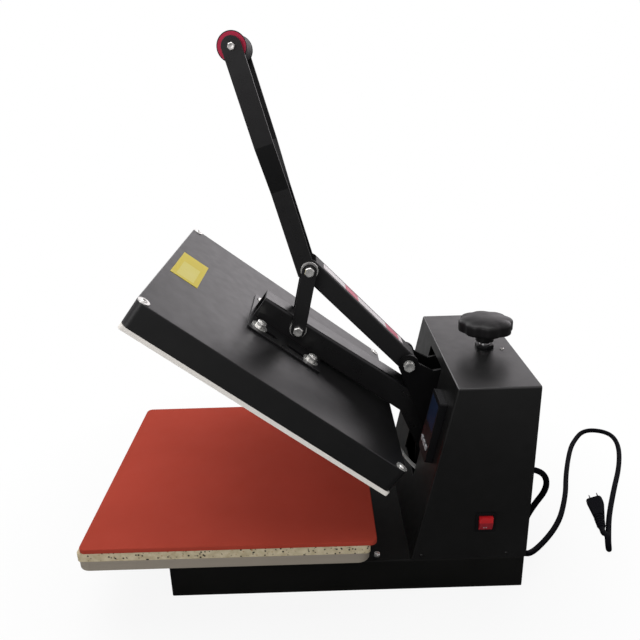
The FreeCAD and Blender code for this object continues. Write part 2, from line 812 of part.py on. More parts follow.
housing_bent = round_off("housing_bent", housing_outer, S.bend_round, housing_bend)
wall_run = S.sheet * math.hypot(1, lean_per_rise.value)
inside_top = housing_top - S.sheet
housing_inside = profile(
    "housing_inside",
    "YZ_Plane",
    even(half_wide - S.sheet),
    [
        (housing_foot + wall_run - lean_per_rise * S.sheet, base_top - S.sheet),
        (rear + S.sheet, base_top - S.sheet),
        (rear + S.sheet, inside_top),
        (housing_foot + wall_run + lean_per_rise * (S.housing_high - S.sheet), inside_top),
    ],
)
cover_out = rear - S.cover_recess
cover_in = cover_out - S.sheet
lip_in = cover_in - S.sheet
lip_outer = block(
    "lip_outer", even(half_wide - S.sheet), (lip_in, cover_in), (base_top, inside_top)
)
lip_window = block(
    "lip_window",
    even(half_wide - S.sheet - S.cover_lip),
    (lip_in, cover_in),
    (base_top + S.cover_lip, inside_top - S.cover_lip),
)
slot_low = base_top + S.slot_foot
slot_high = housing_top - S.slot_head
arm_slot = block(
    "arm_slot", even(S.slot_wide * HALF), (housing_foot - S.sheet, screw_y - S.block_half), (slot_low, slot_high)
)
screw_hole = rod(
    "housing_screw_hole", "Z", (inside_top, housing_top), (Size.of(0), screw_y), S.screw_round + S.slip
)
switch_y = (rear - S.switch_fore, rear - S.switch_fore + S.switch_long)
switch_z = (base_top + S.switch_foot, base_top + S.switch_foot + S.switch_high)
switch_body_y = (switch_y[0] + S.switch_rim * HALF, switch_y[1] - S.switch_rim * HALF)
switch_body_z = (switch_z[0] + S.switch_rim * HALF, switch_z[1] - S.switch_rim * HALF)
switch_hole = block(
    "switch_hole",
    (half_wide - S.sheet, half_wide),
    (switch_body_y[0] - S.slip, switch_body_y[1] + S.slip),
    (switch_body_z[0] - S.slip, switch_body_z[1] + S.slip),
)
case_x = (S.case_side, S.case_side + S.case_wide)
case_back_x = (case_x[0] + S.case_step, case_x[1] - S.case_step)
case_back_z = (S.case_up + S.case_step, S.case_up + S.case_high - S.case_step)
case_hole = block(
    "case_hole",
    (case_back_x[0] - S.slip, case_back_x[1] + S.slip),
    (-S.sheet, S.sheet * 2),
    (case_back_z[0] - S.slip, case_back_z[1] + S.slip),
)
carried(case_hole, FRONT)

# Small pan-head screws: one on the top, two low on the near and far sides, six on the rear cover
small_round = S.cover_screw_round
top_screw = (S.top_screw_side, rear - S.cover_lip - S.sheet)
side_screw_z = base_top + S.cover_lip * HALF
side_screw_y = (housing_foot + S.cover_lip, rear - S.cover_lip * 2)
cover_edge = S.sheet + S.cover_lip * HALF
cover_screw_x = half_wide - cover_edge
cover_screw_z = (base_top + cover_edge, (base_top + housing_top) * HALF, housing_top - cover_edge)
thread_gap = S.running


def pan_screw(name, axis, seat, across, grip, side=1):
    """A small pan-head screw, or the clearance hole for it."""
    head = (seat, seat + S.pan_head_high) if side > 0 else (seat - S.pan_head_high, seat)
    shank = (seat - grip, seat) if side > 0 else (seat, seat + grip)
    return fuse(
        name,
        rod(name + "_head", axis, head, across, S.pan_head_round),
        rod(name + "_shank", axis, shank, across, small_round),
    )


screw_grip = S.sheet * 2
housing_screws = [pan_screw("top_screw", "Z", housing_top, top_screw, screw_grip)]
housing_holes = [
    rod("top_screw_hole", "Z", (inside_top, housing_top), top_screw, small_round + thread_gap)
]
for side in BESIDE:
    for i, y in enumerate(side_screw_y):
        name = "side_screw_%d_%d" % (side, i)
        seat = half_wide if side > 0 else -half_wide
        housing_screws.append(pan_screw(name, "X", seat, (y, side_screw_z), screw_grip, side))
        housing_holes.append(
            rod(
                name + "_hole",
                "X",
                span(side, half_wide - S.sheet, half_wide),
                (y, side_screw_z),
                small_round + thread_gap,
            )
        )
cover_holes = []
for side in BESIDE:
    for i, z in enumerate(cover_screw_z):
        name = "rear_screw_%d_%d" % (side, i)
        x = cover_screw_x * side
        housing_screws.append(pan_screw(name, "Y", cover_out, (x, z), screw_grip, 1))
        cover_holes.append(
            rod(name + "_hole", "Y", (cover_in, cover_out), (x, z), small_round + thread_gap)
        )
        housing_holes.append(
            rod(name + "_lip_hole", "Y", (lip_in, cover_in), (x, z), small_round + thread_gap)
        )
node(
    cut(
        "housing_shell",
        fuse(
            "housing_with_lips",
            cut("housing_hollow", housing_bent, housing_inside),
            cut("housing_lips", lip_outer, lip_window),
        ),
        arm_slot,
        screw_hole,
        switch_hole,
        case_hole,
        *housing_holes,
    )
)
node(group("housing_screws", housing_screws))
gland_z = base_top + S.gland_rise
gland_hole = rod(
    "gland_hole", "Y", (cover_in, cover_out), (S.gland_side, gland_z), S.gland_round * HALF + S.cord_round
)
node(
    cut(
        "housing_rear_cover",
        block(
            "rear_cover_block",
            even(half_wide - S.sheet - S.slip),
            (cover_in, cover_out),
            (base_top + S.slip, inside_top - S.slip),
        ),
        gland_hole,
        *cover_holes,
    )
)

# Linkage frame: two side plates on folded feet, tied together, with ears at the upper pivot
cheek_top = inside_top - S.carrier_high
ear_fore = S.ear_round * 0.92
ear_drop = S.ear_round * 0.39
knee_z = hinge_z + S.hub_round * 3.4
cheek_outline = [
    (upper_y - ear_fore, upper_z - ear_drop),
    (cheek_front, knee_z),
    (cheek_front, base_top),
    (cheek_rear, base_top),
    (cheek_rear, cheek_top),
    (screw_y - S.block_half - S.sheet * 2, cheek_top),
    (upper_y + S.ear_round * 2.4, upper_z - S.ear_round * 0.7),
    (upper_y + S.ear_round * 0.28, upper_z + S.ear_round * 0.52),
]
tie_places = [
    (hinge_y + S.hub_round * 2.6, base_top + S.cheek_flange),
    (screw_y - S.block_half - S.tie_round * 2.5, cheek_top - S.cheek_flange),
]
cheeks = []
for side in BESIDE:
    name = "cheek_%d" % side
    wall_x = span(side, cheek_in, cheek_out)
    wall = profile(name + "_wall", "YZ_Plane", wall_x, cheek_outline)
    ear = rod(name + "_ear", "X", wall_x, (upper_y, upper_z), S.ear_round)
    foot = block(
        name + "_foot",
        span(side, cheek_in, cheek_in + S.cheek_flange),
        (cheek_front + S.cheek_thick, cheek_rear),
        (base_top, base_top + S.cheek_thick),
    )
    holes = [
        rod(name + "_hinge_hole", "X", wall_x, (hinge_y, hinge_z), S.hinge_pin_round + S.running),
        rod(name + "_pivot_hole", "X", wall_x, (upper_y, upper_z), S.upper_bolt_round + S.running),
    ]
    holes += [
        rod("%s_tie_hole_%d" % (name, i), "X", wall_x, p, S.stud_round + S.running)
        for i, p in enumerate(tie_places)
    ]
    holes += [
        rod("%s_foot_hole_%d" % (name, i), "Z", (base_top, base_top + S.cheek_thick), p, bolt_hole)
        for i, p in enumerate(cheek_bolts)
        if p[0].value * side > 0
    ]
    cheeks.append(cut(name, fuse(name + "_plate", wall, ear, foot), *holes))
node(group("linkage_side_plates", cheeks))
ties = []
for i, place in enumerate(tie_places):
    ties.append(
        fuse(
            "tie_%d" % i,
            rod("tie_rod_%d" % i, "X", even(cheek_in), place, S.tie_round),
            rod("tie_end_%d" % i, "X", even(cheek_out + S.cheek_gap), place, S.stud_round),
        )
    )
node(group("frame_cross_ties", ties))
node(
    fuse(
        "hinge_shaft",
        rod("shaft_middle", "X", even(cheek_out), (hinge_y, hinge_z), S.hinge_pin_round),
        rod(
            "shaft_cap_far",
            "X",
            (-cheek_out - S.cheek_gap, -cheek_out),
            (hinge_y, hinge_z),
            S.hinge_pin_round + S.cheek_gap,
        ),
        rod(
            "shaft_cap_near",
            "X",
            (cheek_out, cheek_out + S.cheek_gap),
            (hinge_y, hinge_z),
            S.hinge_pin_round + S.cheek_gap,
        ),
    )
)
upper_axis = (upper_y, upper_z)
node(
    fuse(
        "upper_pivot_bolt",
        hexagon(
            "upper_bolt_head",
            "X",
            (cheek_out + S.washer_thick, cheek_out + S.washer_thick + S.upper_head_high),
            upper_axis,
            S.upper_head_across,
        ),
        rod(
            "upper_bolt_collar",
            "X",
            (cheek_out, cheek_out + S.washer_thick),
            upper_axis,
            S.upper_head_across * HALF + S.slip,
        ),
        rod(
            "upper_bolt_shank",
            "X",
            (-cheek_out - S.upper_head_high - S.head_high, cheek_out),
            upper_axis,
            S.upper_bolt_round,
        ),
    )
)
node(
    cut(
        "upper_pivot_nut",
        hexagon(
            "upper_nut_block",
            "X",
            (-cheek_out - S.upper_head_high - S.washer_thick, -cheek_out),
            upper_axis,
            S.upper_head_across,
        ),
        rod(
            "upper_nut_bore",
            "X",
            (-cheek_out - S.upper_head_high - S.washer_thick, -cheek_out),
            upper_axis,
            S.upper_bolt_round + S.running,
        ),
    )
)

# Pressure screw under the knob, in a block that slides between the side plates
screw_axis = (Size.of(0), screw_y)
screw_bore = S.screw_round + S.screw_bore_gap
node(
    cut(
        "screw_carrier",
        block(
            "carrier_block",
            even(cheek_out + S.cheek_gap),
            (screw_y - S.block_half, cheek_rear),
            (cheek_top, inside_top),
        ),
        rod("carrier_bore", "Z", (cheek_top, inside_top), screw_axis, screw_bore),
    )
)
node(
    cut(
        "screw_lock_ring",
        hexagon(
            "lock_outer", "Z", (housing_top, housing_top + S.lock_high), screw_axis, S.lock_across
        ),
        rod("lock_bore", "Z", (housing_top, housing_top + S.lock_high), screw_axis, screw_bore),
    )
)
neck_low = housing_top + S.neck_rise
knob_low = neck_low + S.neck_high
rim_top = knob_low + S.knob_rim
knob_top = rim_top + S.knob_dome
screw_top = knob_low + S.knob_rim * HALF
groove_deep = S.screw_pitch * 0.3
grooves = []
groove_z = housing_top + S.lock_high + S.screw_pitch * HALF
while groove_z.value + S.screw_pitch.value * HALF < neck_low.value:
    name = "thread_%d" % len(grooves)
    ring = cut(
        name,
        rod(name + "_out", "Z", (groove_z, groove_z + S.screw_pitch * HALF), screw_axis, screw_bore),
        rod(
            name + "_in",
            "Z",
            (groove_z, groove_z + S.screw_pitch * HALF),
            screw_axis,
            S.screw_round - groove_deep,
        ),
    )
    grooves.append(ring)
    groove_z = groove_z + S.screw_pitch
screw_low = housing_top - S.screw_low
node(
    cut(
        "pressure_screw",
        rod("screw_blank", "Z", (screw_low, screw_top), screw_axis, S.screw_round),
        *grooves,
    )
)
dome_round = (S.knob_round * S.knob_round + S.knob_dome * S.knob_dome) / (S.knob_dome * 2)
dome = doc.addObject("Part::Sphere", "knob_dome")
bind(dome, "Radius", dome_round)
put(dome, Size.of(0), screw_y, knob_top - dome_round)
lobes = []
for i in range(int(S.lobe_count.value)):
    angle = 2 * math.pi * (i + HALF) / S.lobe_count.value
    reach = S.knob_round + S.lobe_out
    lobes.append(
        rod(
            "lobe_%d" % i,
            "Z",
            (knob_low - S.slip, knob_top + S.slip),
            (reach * math.sin(angle), screw_y + reach * math.cos(angle)),
            S.lobe_round,
        )
    )
knob_body = common(
    "knob_body", rod("knob_disc", "Z", (knob_low, knob_top), screw_axis, S.knob_round), dome
)
node(
    cut(
        "pressure_knob",
        fuse(
            "knob_with_neck",
            cut("knob_lobed", knob_body, *lobes),
            rod("knob_neck", "Z", (neck_low, knob_low), screw_axis, S.neck_round),
        ),
        rod("knob_bore", "Z", (neck_low, screw_top), screw_axis, S.screw_round),
    )
)
block_low = base_top + S.block_rise
block_z = (block_low, block_low + S.block_high)
node(
    cut(
        "pressure_block",
        block(
            "pressure_block_body",
            even(cheek_in - S.side_gap),
            (screw_y - S.block_half, screw_y + S.block_half),
            block_z,
        ),
        rod("pressure_block_bore", "Z", block_z, screw_axis, screw_bore),
    )
)

# Controller on the raked front, in the frame of that face: -Y is outward, +Z is up the face
case_front = block(
    "case_front", case_x, (-S.case_out, Size.of(0)), (S.case_up, S.case_up + S.case_high)
)
case_front_round = round_off(
    "case_front_round", case_front, S.case_round, lambda e: runs(e, Vector(0, 1, 0))
)
case_back = block("case_back", case_back_x, (Size.of(0), S.case_deep), case_back_z)
window_mid = S.case_side + S.case_wide * HALF
window_x = (window_mid - S.window_wide * HALF, window_mid + S.window_wide * HALF)
window_z = (S.case_up + S.window_up, S.case_up + S.window_up + S.window_high)
window_y = (-S.case_out, S.window_thick - S.case_out)
window_seat = block(
    "window_seat",
    (window_x[0] - S.slip, window_x[1] + S.slip),
    window_y,
    (window_z[0] - S.slip, window_z[1] + S.slip),
)
key_z = (S.case_up + S.key_up - S.key_high * HALF, S.case_up + S.key_up + S.key_high * HALF)
key_y = (-S.case_out - S.key_out, S.key_deep - S.case_out)
key_seats = []
keys = []
for i in (-1, 0, 1):
    key_mid = window_mid + S.key_pitch * i
    key_x = (key_mid - S.key_wide * HALF, key_mid + S.key_wide * HALF)
    key_seats.append(
        block(
            "key_seat_%d" % i,
            (key_x[0] - S.key_gap, key_x[1] + S.key_gap),
            (-S.case_out, S.key_deep + S.key_travel + S.slip - S.case_out),
            (key_z[0] - S.key_gap, key_z[1] + S.key_gap),
        )
    )
    keys.append(block("controller_key_%d" % (i + 2), key_x, key_y, key_z))
node(
    cut(
        "controller_case",
        fuse("case_whole", case_front_round, case_back),
        window_seat,
        *key_seats,
    ),
    FRONT,
)
display = block("display_window", window_x, window_y, window_z)
for piece in [display] + keys:
    node(piece, FRONT)

# Power switch on the near side, with a rocker that tips about a line along Y
flange_x = (half_wide, half_wide + S.switch_flange)
rocker_y = (switch_y[0] + S.switch_rim, switch_y[1] - S.switch_rim)
rocker_half = S.switch_high * HALF - S.switch_rim
switch_mid_z = (switch_z[0] + switch_z[1]) * HALF
switch_cavity = block(
    "switch_cavity",
    (half_wide - S.switch_deep + S.sheet, flange_x[1]),
    (rocker_y[0] - S.slip, rocker_y[1] + S.slip),
    (switch_mid_z - rocker_half - S.rocker_gap, switch_mid_z + rocker_half + S.rocker_gap),
)
pin_x = flange_x[1] - S.rocker_deep * HALF
rocker_pin_round = S.rocker_deep * 0.2
switch_pin = rod(
    "switch_pin",
    "Y",
    (switch_body_y[0], switch_body_y[1]),
    (pin_x, switch_mid_z),
    rocker_pin_round,
)
switch_frame = cut(
    "switch_frame",
    fuse(
        "switch_whole",
        block("switch_flange", flange_x, switch_y, switch_z),
        block(
            "switch_body",
            (half_wide - S.switch_deep, half_wide),
            switch_body_y,
            switch_body_z,
        ),
    ),
    switch_cavity,
)
node(fuse("switch_bezel", switch_frame, switch_pin))
rocker_waist = rocker_half * 0.62
rocker = cut(
    "power_rocker",
    profile(
        "rocker_body",
        "XZ_Plane",
        (rocker_y[0] + S.slip, rocker_y[1] - S.slip),
        [
            (S.rocker_deep * HALF + S.rocker_out, -rocker_half + S.rocker_gap),
            (S.rocker_deep * HALF + S.rocker_out + S.rocker_ridge, Size.of(0)),
            (S.rocker_deep * HALF + S.rocker_out, rocker_half - S.rocker_gap),
            (Size.of(0), rocker_half - S.rocker_gap),
            (-S.rocker_deep * HALF, rocker_waist),
            (-S.rocker_deep * HALF, -rocker_waist),
            (Size.of(0), -rocker_half + S.rocker_gap),
        ],
    ),
    rod("rocker_bore", "Y", rocker_y, (Size.of(0), Size.of(0)), rocker_pin_round + S.running),
)
node(
    rocker,
    Placement(
        Vector(pin_x.value, 0, switch_mid_z.value),
        Rotation(Vector(0, 1, 0), S.rocker_throw.value),
    ),
)

# Electrics inside the housing
relay_in = cheek_in + S.cheek_flange + S.slip
relay_x = (-relay_in - S.relay_wide, -relay_in)
relay_y = (lip_in - S.relay_long - S.sheet, lip_in - S.sheet)
node(block("relay_block", relay_x, relay_y, (base_top, base_top + S.relay_high)))
wire_low = base_top + S.wire_round.value
relay_mid = ((relay_x[0] + relay_x[1]) * HALF).value
gland_tip = cover_in - S.gland_in
switch_back = half_wide - S.switch_deep
case_rear = FRONT.multVec(
    Vector(window_mid.value, S.case_deep.value, (S.case_up + S.case_high * HALF).value)
)
case_way = FRONT.Rotation.multVec(Vector(0, 1, 0))
case_leave = case_rear + case_way * 11
switch_x = switch_back.value
switch_a = switch_y[0].value + 6
switch_b = switch_a + 4
switch_c = switch_b + 4
plug_in = relay_x[1].value
inner_wires = [
    tube(
        [
            (S.gland_side.value, gland_tip.value, gland_z.value),
            (S.gland_side.value, gland_tip.value - 12, gland_z.value),
            (S.gland_side.value + 5, gland_tip.value - 22, gland_z.value - 18),
            (switch_x - 20, switch_c + 2, gland_z.value - 36),
            (switch_x - 12, switch_c, switch_mid_z.value + 3),
            (switch_x, switch_c, switch_mid_z.value + 3),
        ],
        S.wire_round.value,
    ),
    tube(
        [
            tuple(case_rear),
            tuple(case_leave),
            (case_leave.x + 3, case_leave.y + 9, case_leave.z - 19),
            (case_leave.x + 5, case_leave.y + 10, case_leave.z - 52),
            (switch_x - 16, switch_a - 2, switch_mid_z.value + 30),
            (switch_x - 10, switch_a, switch_mid_z.value + 7),
            (switch_x, switch_a, switch_mid_z.value + 7),
        ],
        S.wire_round.value,
    ),
    tube(
        [
            (switch_x, switch_b, switch_mid_z.value - 7),
            (switch_x - 11, switch_b, switch_mid_z.value - 7),
            (switch_x - 21, switch_b + 2, base_top.value + 22),
            (60.0, cheek_rear.value + 4, base_top.value + 17),
            (0.0, cheek_rear.value + 7, base_top.value + 15),
            (plug_in + 22, relay_y[1].value - 8, base_top.value + 13),
            (plug_in, relay_y[1].value - 8, base_top.value + 13),
        ],
        S.wire_round.value,
    ),
]
node(shaped("internal_wiring", Part.makeCompound(inner_wires)))

# Press arm and heated platen, in the platen's own frame
hub_y = S.hinge_behind
hub_z = S.hinge_rise
arm_pad_top = S.plate_thick + S.cover_high + S.arm_pad_thick
platen_top = S.plate_thick + S.cover_high
tan_low = math.atan2(
    S.arm_under_back.value - hub_z.value, hub_y.value + S.arm_crank_under.value
)
reach_low = math.hypot(
    S.arm_under_back.value - hub_z.value, hub_y.value + S.arm_crank_under.value
)
slope_low = tan_low + math.asin(S.hub_round.value / reach_low)
tan_top = math.atan2(S.arm_top_back.value - hub_z.value, hub_y.value + S.arm_crank_top.value)
reach_top = math.hypot(S.arm_top_back.value - hub_z.value, hub_y.value + S.arm_crank_top.value)
slope_top = tan_top - math.asin(S.hub_round.value / reach_top)
low_touch = (
    hub_y - S.hub_round * math.sin(slope_low),
    hub_z - S.hub_round * math.cos(slope_low),
)
top_touch = (
    hub_y + S.hub_round * math.sin(slope_top),
    hub_z + S.hub_round * math.cos(slope_top),
)
arm_outer = profile(
    "arm_outer",
    "YZ_Plane",
    even(arm_half),
    [
        (-S.arm_front, arm_pad_top),
        (-S.arm_front, S.arm_top_front),
        (-S.arm_crank_top, S.arm_top_back),
        top_touch,
        low_touch,
        (-S.arm_crank_under, S.arm_under_back),
        (-S.arm_pad_back, arm_pad_top),
    ],
)


def arm_bend(edge):
    """The long bends along the top of the arm and its crank."""
    box = edge.BoundBox
    if box.XLength > 1 or box.YLength < 20:
        return False
    return box.ZMin > number(S.arm_under_back) or (
        box.YMin > number(-S.arm_crank_top) - 1 and box.ZMax > number(S.arm_top_back) - 1
    )


arm_bent = round_off("arm_bent", arm_outer, S.arm_round, arm_bend)
top_slope = (S.arm_top_back - S.arm_top_front) / (S.arm_front + (-S.arm_crank_top))
arm_inner = profile(
    "arm_inner",
    "YZ_Plane",
    even(arm_half - S.arm_wall),
    [
        (-S.arm_front - S.arm_wall, arm_pad_top - S.arm_wall * 2),
        (-S.arm_front - S.arm_wall, S.arm_top_front - S.arm_wall - top_slope * S.arm_wall),
        (-S.arm_crank_top - S.arm_wall * HALF, S.arm_top_back - S.arm_wall),
        (hub_y - S.hub_round * 1.2, hub_z + S.hub_round * 1.55),
        (hub_y - S.hub_round * 1.2, -S.hub_round),
        (S.arm_wall * HALF, -S.hub_round),
    ],
)
arm_hub = rod("arm_hub", "X", even(cheek_in - S.side_gap), (hub_y, hub_z), S.hub_round)
knee = (-knee_before_edge, S.knee_rise)
boss_in = arm_half - S.arm_wall - S.nut_high
arm_bosses = []
arm_bores = [
    rod("hub_bore", "X", even(cheek_in), (hub_y, hub_z), S.hinge_pin_round + S.running),
]
for side in BESIDE:
    arm_bosses.append(
        rod("arm_boss_%d" % side, "X", span(side, boss_in, arm_half - S.arm_wall), knee, S.pillar_round)
    )
    arm_bores.append(rod("arm_boss_bore_%d" % side, "X", span(side, boss_in, arm_half), knee, bore_8))
node(
    cut(
        "press_arm",
        fuse("arm_whole", cut("arm_channel", arm_bent, arm_inner), arm_hub, *arm_bosses),
        *arm_bores,
    ),
    PLATEN,
)

studs = [(sx * S.stud_side, y) for sx in BESIDE for y in (-S.stud_front, -S.stud_back)]
pad_slots = []
for side in BESIDE:
    for i, start in enumerate((S.stud_back, S.stud_front - S.pad_slot_long * 0.75)):
        ends = (-start - S.pad_slot_long, -start)
        x = S.stud_side * side
        slot_name = "pad_slot_%d_%d" % (side, i)
        slot_z = (platen_top, arm_pad_top)
        pad_slots.append(
            fuse(
                slot_name,
                block(slot_name + "_mid", (x - S.pad_slot_round, x + S.pad_slot_round), ends, slot_z),
                rod(slot_name + "_front", "Z", slot_z, (x, ends[0]), S.pad_slot_round),
                rod(slot_name + "_back", "Z", slot_z, (x, ends[1]), S.pad_slot_round),
            )
        )
arm_pad = round_off(
    "arm_pad_round",
    block(
        "arm_pad",
        even(S.arm_pad_wide * HALF),
        (-S.arm_pad_front, -S.arm_pad_back),
        (platen_top, arm_pad_top),
    ),
    S.arm_round,
    upright,
)
node(cut("arm_base_plate", arm_pad, *pad_slots), PLATEN)

shoulder_top = platen_top - S.cover_sheet
platen_studs = []
platen_nuts = []
platen_washers = []
washer_top = arm_pad_top + S.washer_thick
for i, place in enumerate(studs):
    platen_studs.append(
        fuse(
            "stud_%d" % i,
            rod("stud_shoulder_%d" % i, "Z", (S.plate_thick, shoulder_top), place, S.pillar_round),
            rod(
                "stud_thread_%d" % i,
                "Z",
                (shoulder_top, platen_top + S.stud_long),
                place,
                S.stud_round,
            ),
        )
    )
    platen_nuts.append(
        cut(
            "platen_nut_%d" % i,
            hexagon("nut_block_%d" % i, "Z", (washer_top, washer_top + S.nut_high), place, S.nut_across),
            rod("nut_bore_%d" % i, "Z", (washer_top, washer_top + S.nut_high), place, bore_8),
        )
    )
    platen_washers.append(
        cut(
            "platen_washer_%d" % i,
            rod("washer_disc_%d" % i, "Z", (arm_pad_top, washer_top), place, S.washer_round),
            rod("washer_bore_%d" % i, "Z", (arm_pad_top, washer_top), place, bolt_hole),
        )
    )
node(group("platen_studs", platen_studs), PLATEN)
node(group("platen_nuts", platen_nuts), PLATEN)
node(group("platen_washers", platen_washers), PLATEN)

platen_y = (-S.platen_long, Size.of(0))
cover_rounded = round_off(
    "cover_rounded",
    block("cover_block", even(half_platen), platen_y, (S.plate_thick, platen_top)),
    S.cover_round,
    upright,
)
cover_soft = round_off(
    "cover_soft", cover_rounded, S.cover_sheet * 0.8, lambda e: high(e, platen_top)
)
cover_inside = round_off(
    "cover_inside",
    block(
        "cover_space",
        even(half_platen - S.cover_sheet),
        (platen_y[0] + S.cover_sheet, platen_y[1] - S.cover_sheet),
        (Size.of(0), shoulder_top),
    ),
    S.cover_round - S.cover_sheet,
    upright,
)
screw_places = [
    (sx * (half_platen - S.cover_screw_side), y)
    for sx in BESIDE
    for y in (platen_y[0] + S.cover_screw_end, -S.cover_screw_end)
]
lead_xs = [S.lead_side, S.lead_side + S.lead_pitch]
lead_hole = S.lead_round + S.slip * 2
cover_cuts = [
    rod("cover_stud_hole_%d" % i, "Z", (shoulder_top, platen_top), p, bolt_hole)
    for i, p in enumerate(studs)
]
cover_cuts += [
    rod("cover_screw_hole_%d" % i, "Z", (shoulder_top, platen_top), p, small_round + thread_gap)
    for i, p in enumerate(screw_places)
]
cover_cuts += [
    rod("lead_hole_%d" % i, "Y", (-S.cover_sheet, Size.of(0)), (x, S.lead_rise), lead_hole)
    for i, x in enumerate(lead_xs)
]
node(cut("upper_cover", cover_soft, cover_inside, *cover_cuts), PLATEN)
node(
    round_off(
        "heating_plate",
        block("plate_block", even(half_platen), platen_y, (Size.of(0), S.plate_thick)),
        S.platen_round,
        upright,
    ),
    PLATEN,
)
blanket_z = (shoulder_top - S.blanket_thick, shoulder_top)
blanket_side = half_platen - S.cover_screw_side - S.blanket_inset
node(
    cut(
        "insulation_blanket",
        block(
            "blanket_block",
            even(blanket_side),
            (platen_y[0] + S.blanket_inset, -S.blanket_inset),
            blanket_z,
        ),
        *[
            rod("blanket_hole_%d" % i, "Z", blanket_z, p, S.pillar_round + S.slip)
            for i, p in enumerate(studs)
        ],
    ),
    PLATEN,
)
element_z = (S.plate_thick + S.element_round).value
pitch = S.element_pitch.value
bend = pitch * HALF
element_mid = -S.platen_long.value * HALF
element_half = S.element_reach.value * HALF - bend
element_edges = []
run_xs = [(i - 2.5) * pitch for i in range(6)]
for i, x in enumerate(run_xs):
    ends = (element_mid - element_half, element_mid + element_half)
    if i % 2:
        ends = (ends[1], ends[0])
    start = Vector(x, ends[0], element_z)
    end = Vector(x, ends[1], element_z)
    element_edges.append(Part.LineSegment(start, end).toShape())
    if i + 1 < len(run_xs):
        far = Vector(x + pitch, ends[1], element_z)
        way = 1 if ends[1] > ends[0] else -1
        middle = Vector(x + bend, ends[1] + way * bend, element_z)
        element_edges.append(Part.Arc(end, middle, far).toShape())
element_wire = Part.Wire(element_edges)
element_ring = Part.Wire(
    [Part.Circle(element_edges[0].Vertexes[0].Point, Vector(0, 1, 0), S.element_round.value).toShape()]
)
node(
    shaped("heating_element", element_wire.makePipeShell([element_ring], True, False)), PLATEN
)
probe_mid = -S.platen_long * HALF
node(
    rod(
        "temperature_probe",
        "Y",
        (probe_mid - S.probe_long * HALF, probe_mid + S.probe_long * HALF),
        (Size.of(0), S.plate_thick + S.probe_round),
        S.probe_round,
    ),
    PLATEN,
)
cover_screws = []
for i, place in enumerate(screw_places):
    cover_screws.append(
        fuse(
            "cover_screw_%d" % i,
            rod(
                "cover_screw_head_%d" % i,
                "Z",
                (platen_top, platen_top + S.cover_head_high),
                place,
                S.cover_head_round,
            ),
            rod(
                "cover_screw_flange_%d" % i,
                "Z",
                (platen_top, platen_top + S.cover_flange_high),
                place,
                S.cover_flange_round,
            ),
            rod("cover_screw_shank_%d" % i, "Z", (S.plate_thick, platen_top), place, small_round),
        )
    )
node(group("cover_screws", cover_screws), PLATEN)
plaque_y = (platen_y[0] + S.plaque_front, platen_y[0] + S.plaque_front + S.plaque_long)
node(
    block(
        "blank_plaque",
        even(S.plaque_wide * HALF),
        plaque_y,
        (platen_top, platen_top + S.plaque_thick),
    ),
    PLATEN,
)
collar_x = (arm_half, arm_half + S.collar_long - S.side_gap)
leg_x = (arm_half + S.collar_long, arm_half + S.collar_long + S.leg_thick)
knee_bolts = []
knee_collars = []
for side in BESIDE:
    name = "knee_bolt_%d" % side
    head_seat = leg_x[1] + S.side_gap
    knee_bolts.append(
        bolt(name, "X", head_seat if side > 0 else -head_seat, knee, head_seat - boss_in, side)
    )
    collar_span = span(side, *collar_x)
    knee_collars.append(
        cut(
            "knee_collar_%d" % side,
            rod("knee_collar_disc_%d" % side, "X", collar_span, knee, S.collar_round),
            rod("knee_collar_bore_%d" % side, "X", collar_span, knee, bore_8),
        )
    )
node(group("arm_pivot_bolts", knee_bolts), PLATEN)
node(group("arm_pivot_collars", knee_collars), PLATEN)

# Legs, in their own frame: origin at the lower pivot, +Z to the upper one
origin = (Size.of(0), Size.of(0))
leg_top = (Size.of(0), S.leg_long)
legs = []
leg_bolts = []
leg_washers = []
pin_half = arm_half + S.bar_thick
for side in BESIDE:
    name = "leg_%d" % side
    x = span(side, *leg_x)
    legs.append(
        cut(
            name,
            fuse(
                name + "_blank",
                block(name + "_flat", x, even(S.leg_half), (Size.of(0), S.leg_long)),
                rod(name + "_foot", "X", x, origin, S.leg_half),
                rod(name + "_head", "X", x, leg_top, S.leg_half),
            ),
            rod(name + "_foot_bore", "X", x, origin, bore_8),
            rod(name + "_head_bore", "X", x, leg_top, bore_8),
        )
    )
    washer_x = (pin_half + S.slip, leg_x[0])
    leg_bolts.append(
        bolt(
            name + "_bolt",
            "X",
            leg_x[1] if side > 0 else -leg_x[1],
            leg_top,
            leg_x[1] - washer_x[0],
            side,
        )
    )
    leg_washers.append(
        cut(
            name + "_washer",
            rod(name + "_washer_disc", "X", span(side, *washer_x), leg_top, S.collar_round),
            rod(name + "_washer_bore", "X", span(side, *washer_x), leg_top, bore_8),
        )
    )
for title, pieces in (
    ("toggle_legs", legs),
    ("leg_end_bolts", leg_bolts),
    ("leg_washers", leg_washers),
):
    node(group(title, pieces), LEG)

# Link channel, in its own frame: origin at the upper pivot, +Z to the handle, web on +Y
link_end = (Size.of(0), S.link_long)
link_blank = fuse(
    "link_blank",
    block("link_middle", even(arm_half), even(S.link_half), (Size.of(0), S.link_long)),
    rod("link_foot", "X", even(arm_half), origin, S.link_half),
    rod("link_head", "X", even(arm_half), link_end, S.link_half),
)


def link_bend(edge):
    """The two long bends beside the web of the link."""
    return upright(edge) and edge.BoundBox.YMin > number(S.link_half) - 0.01


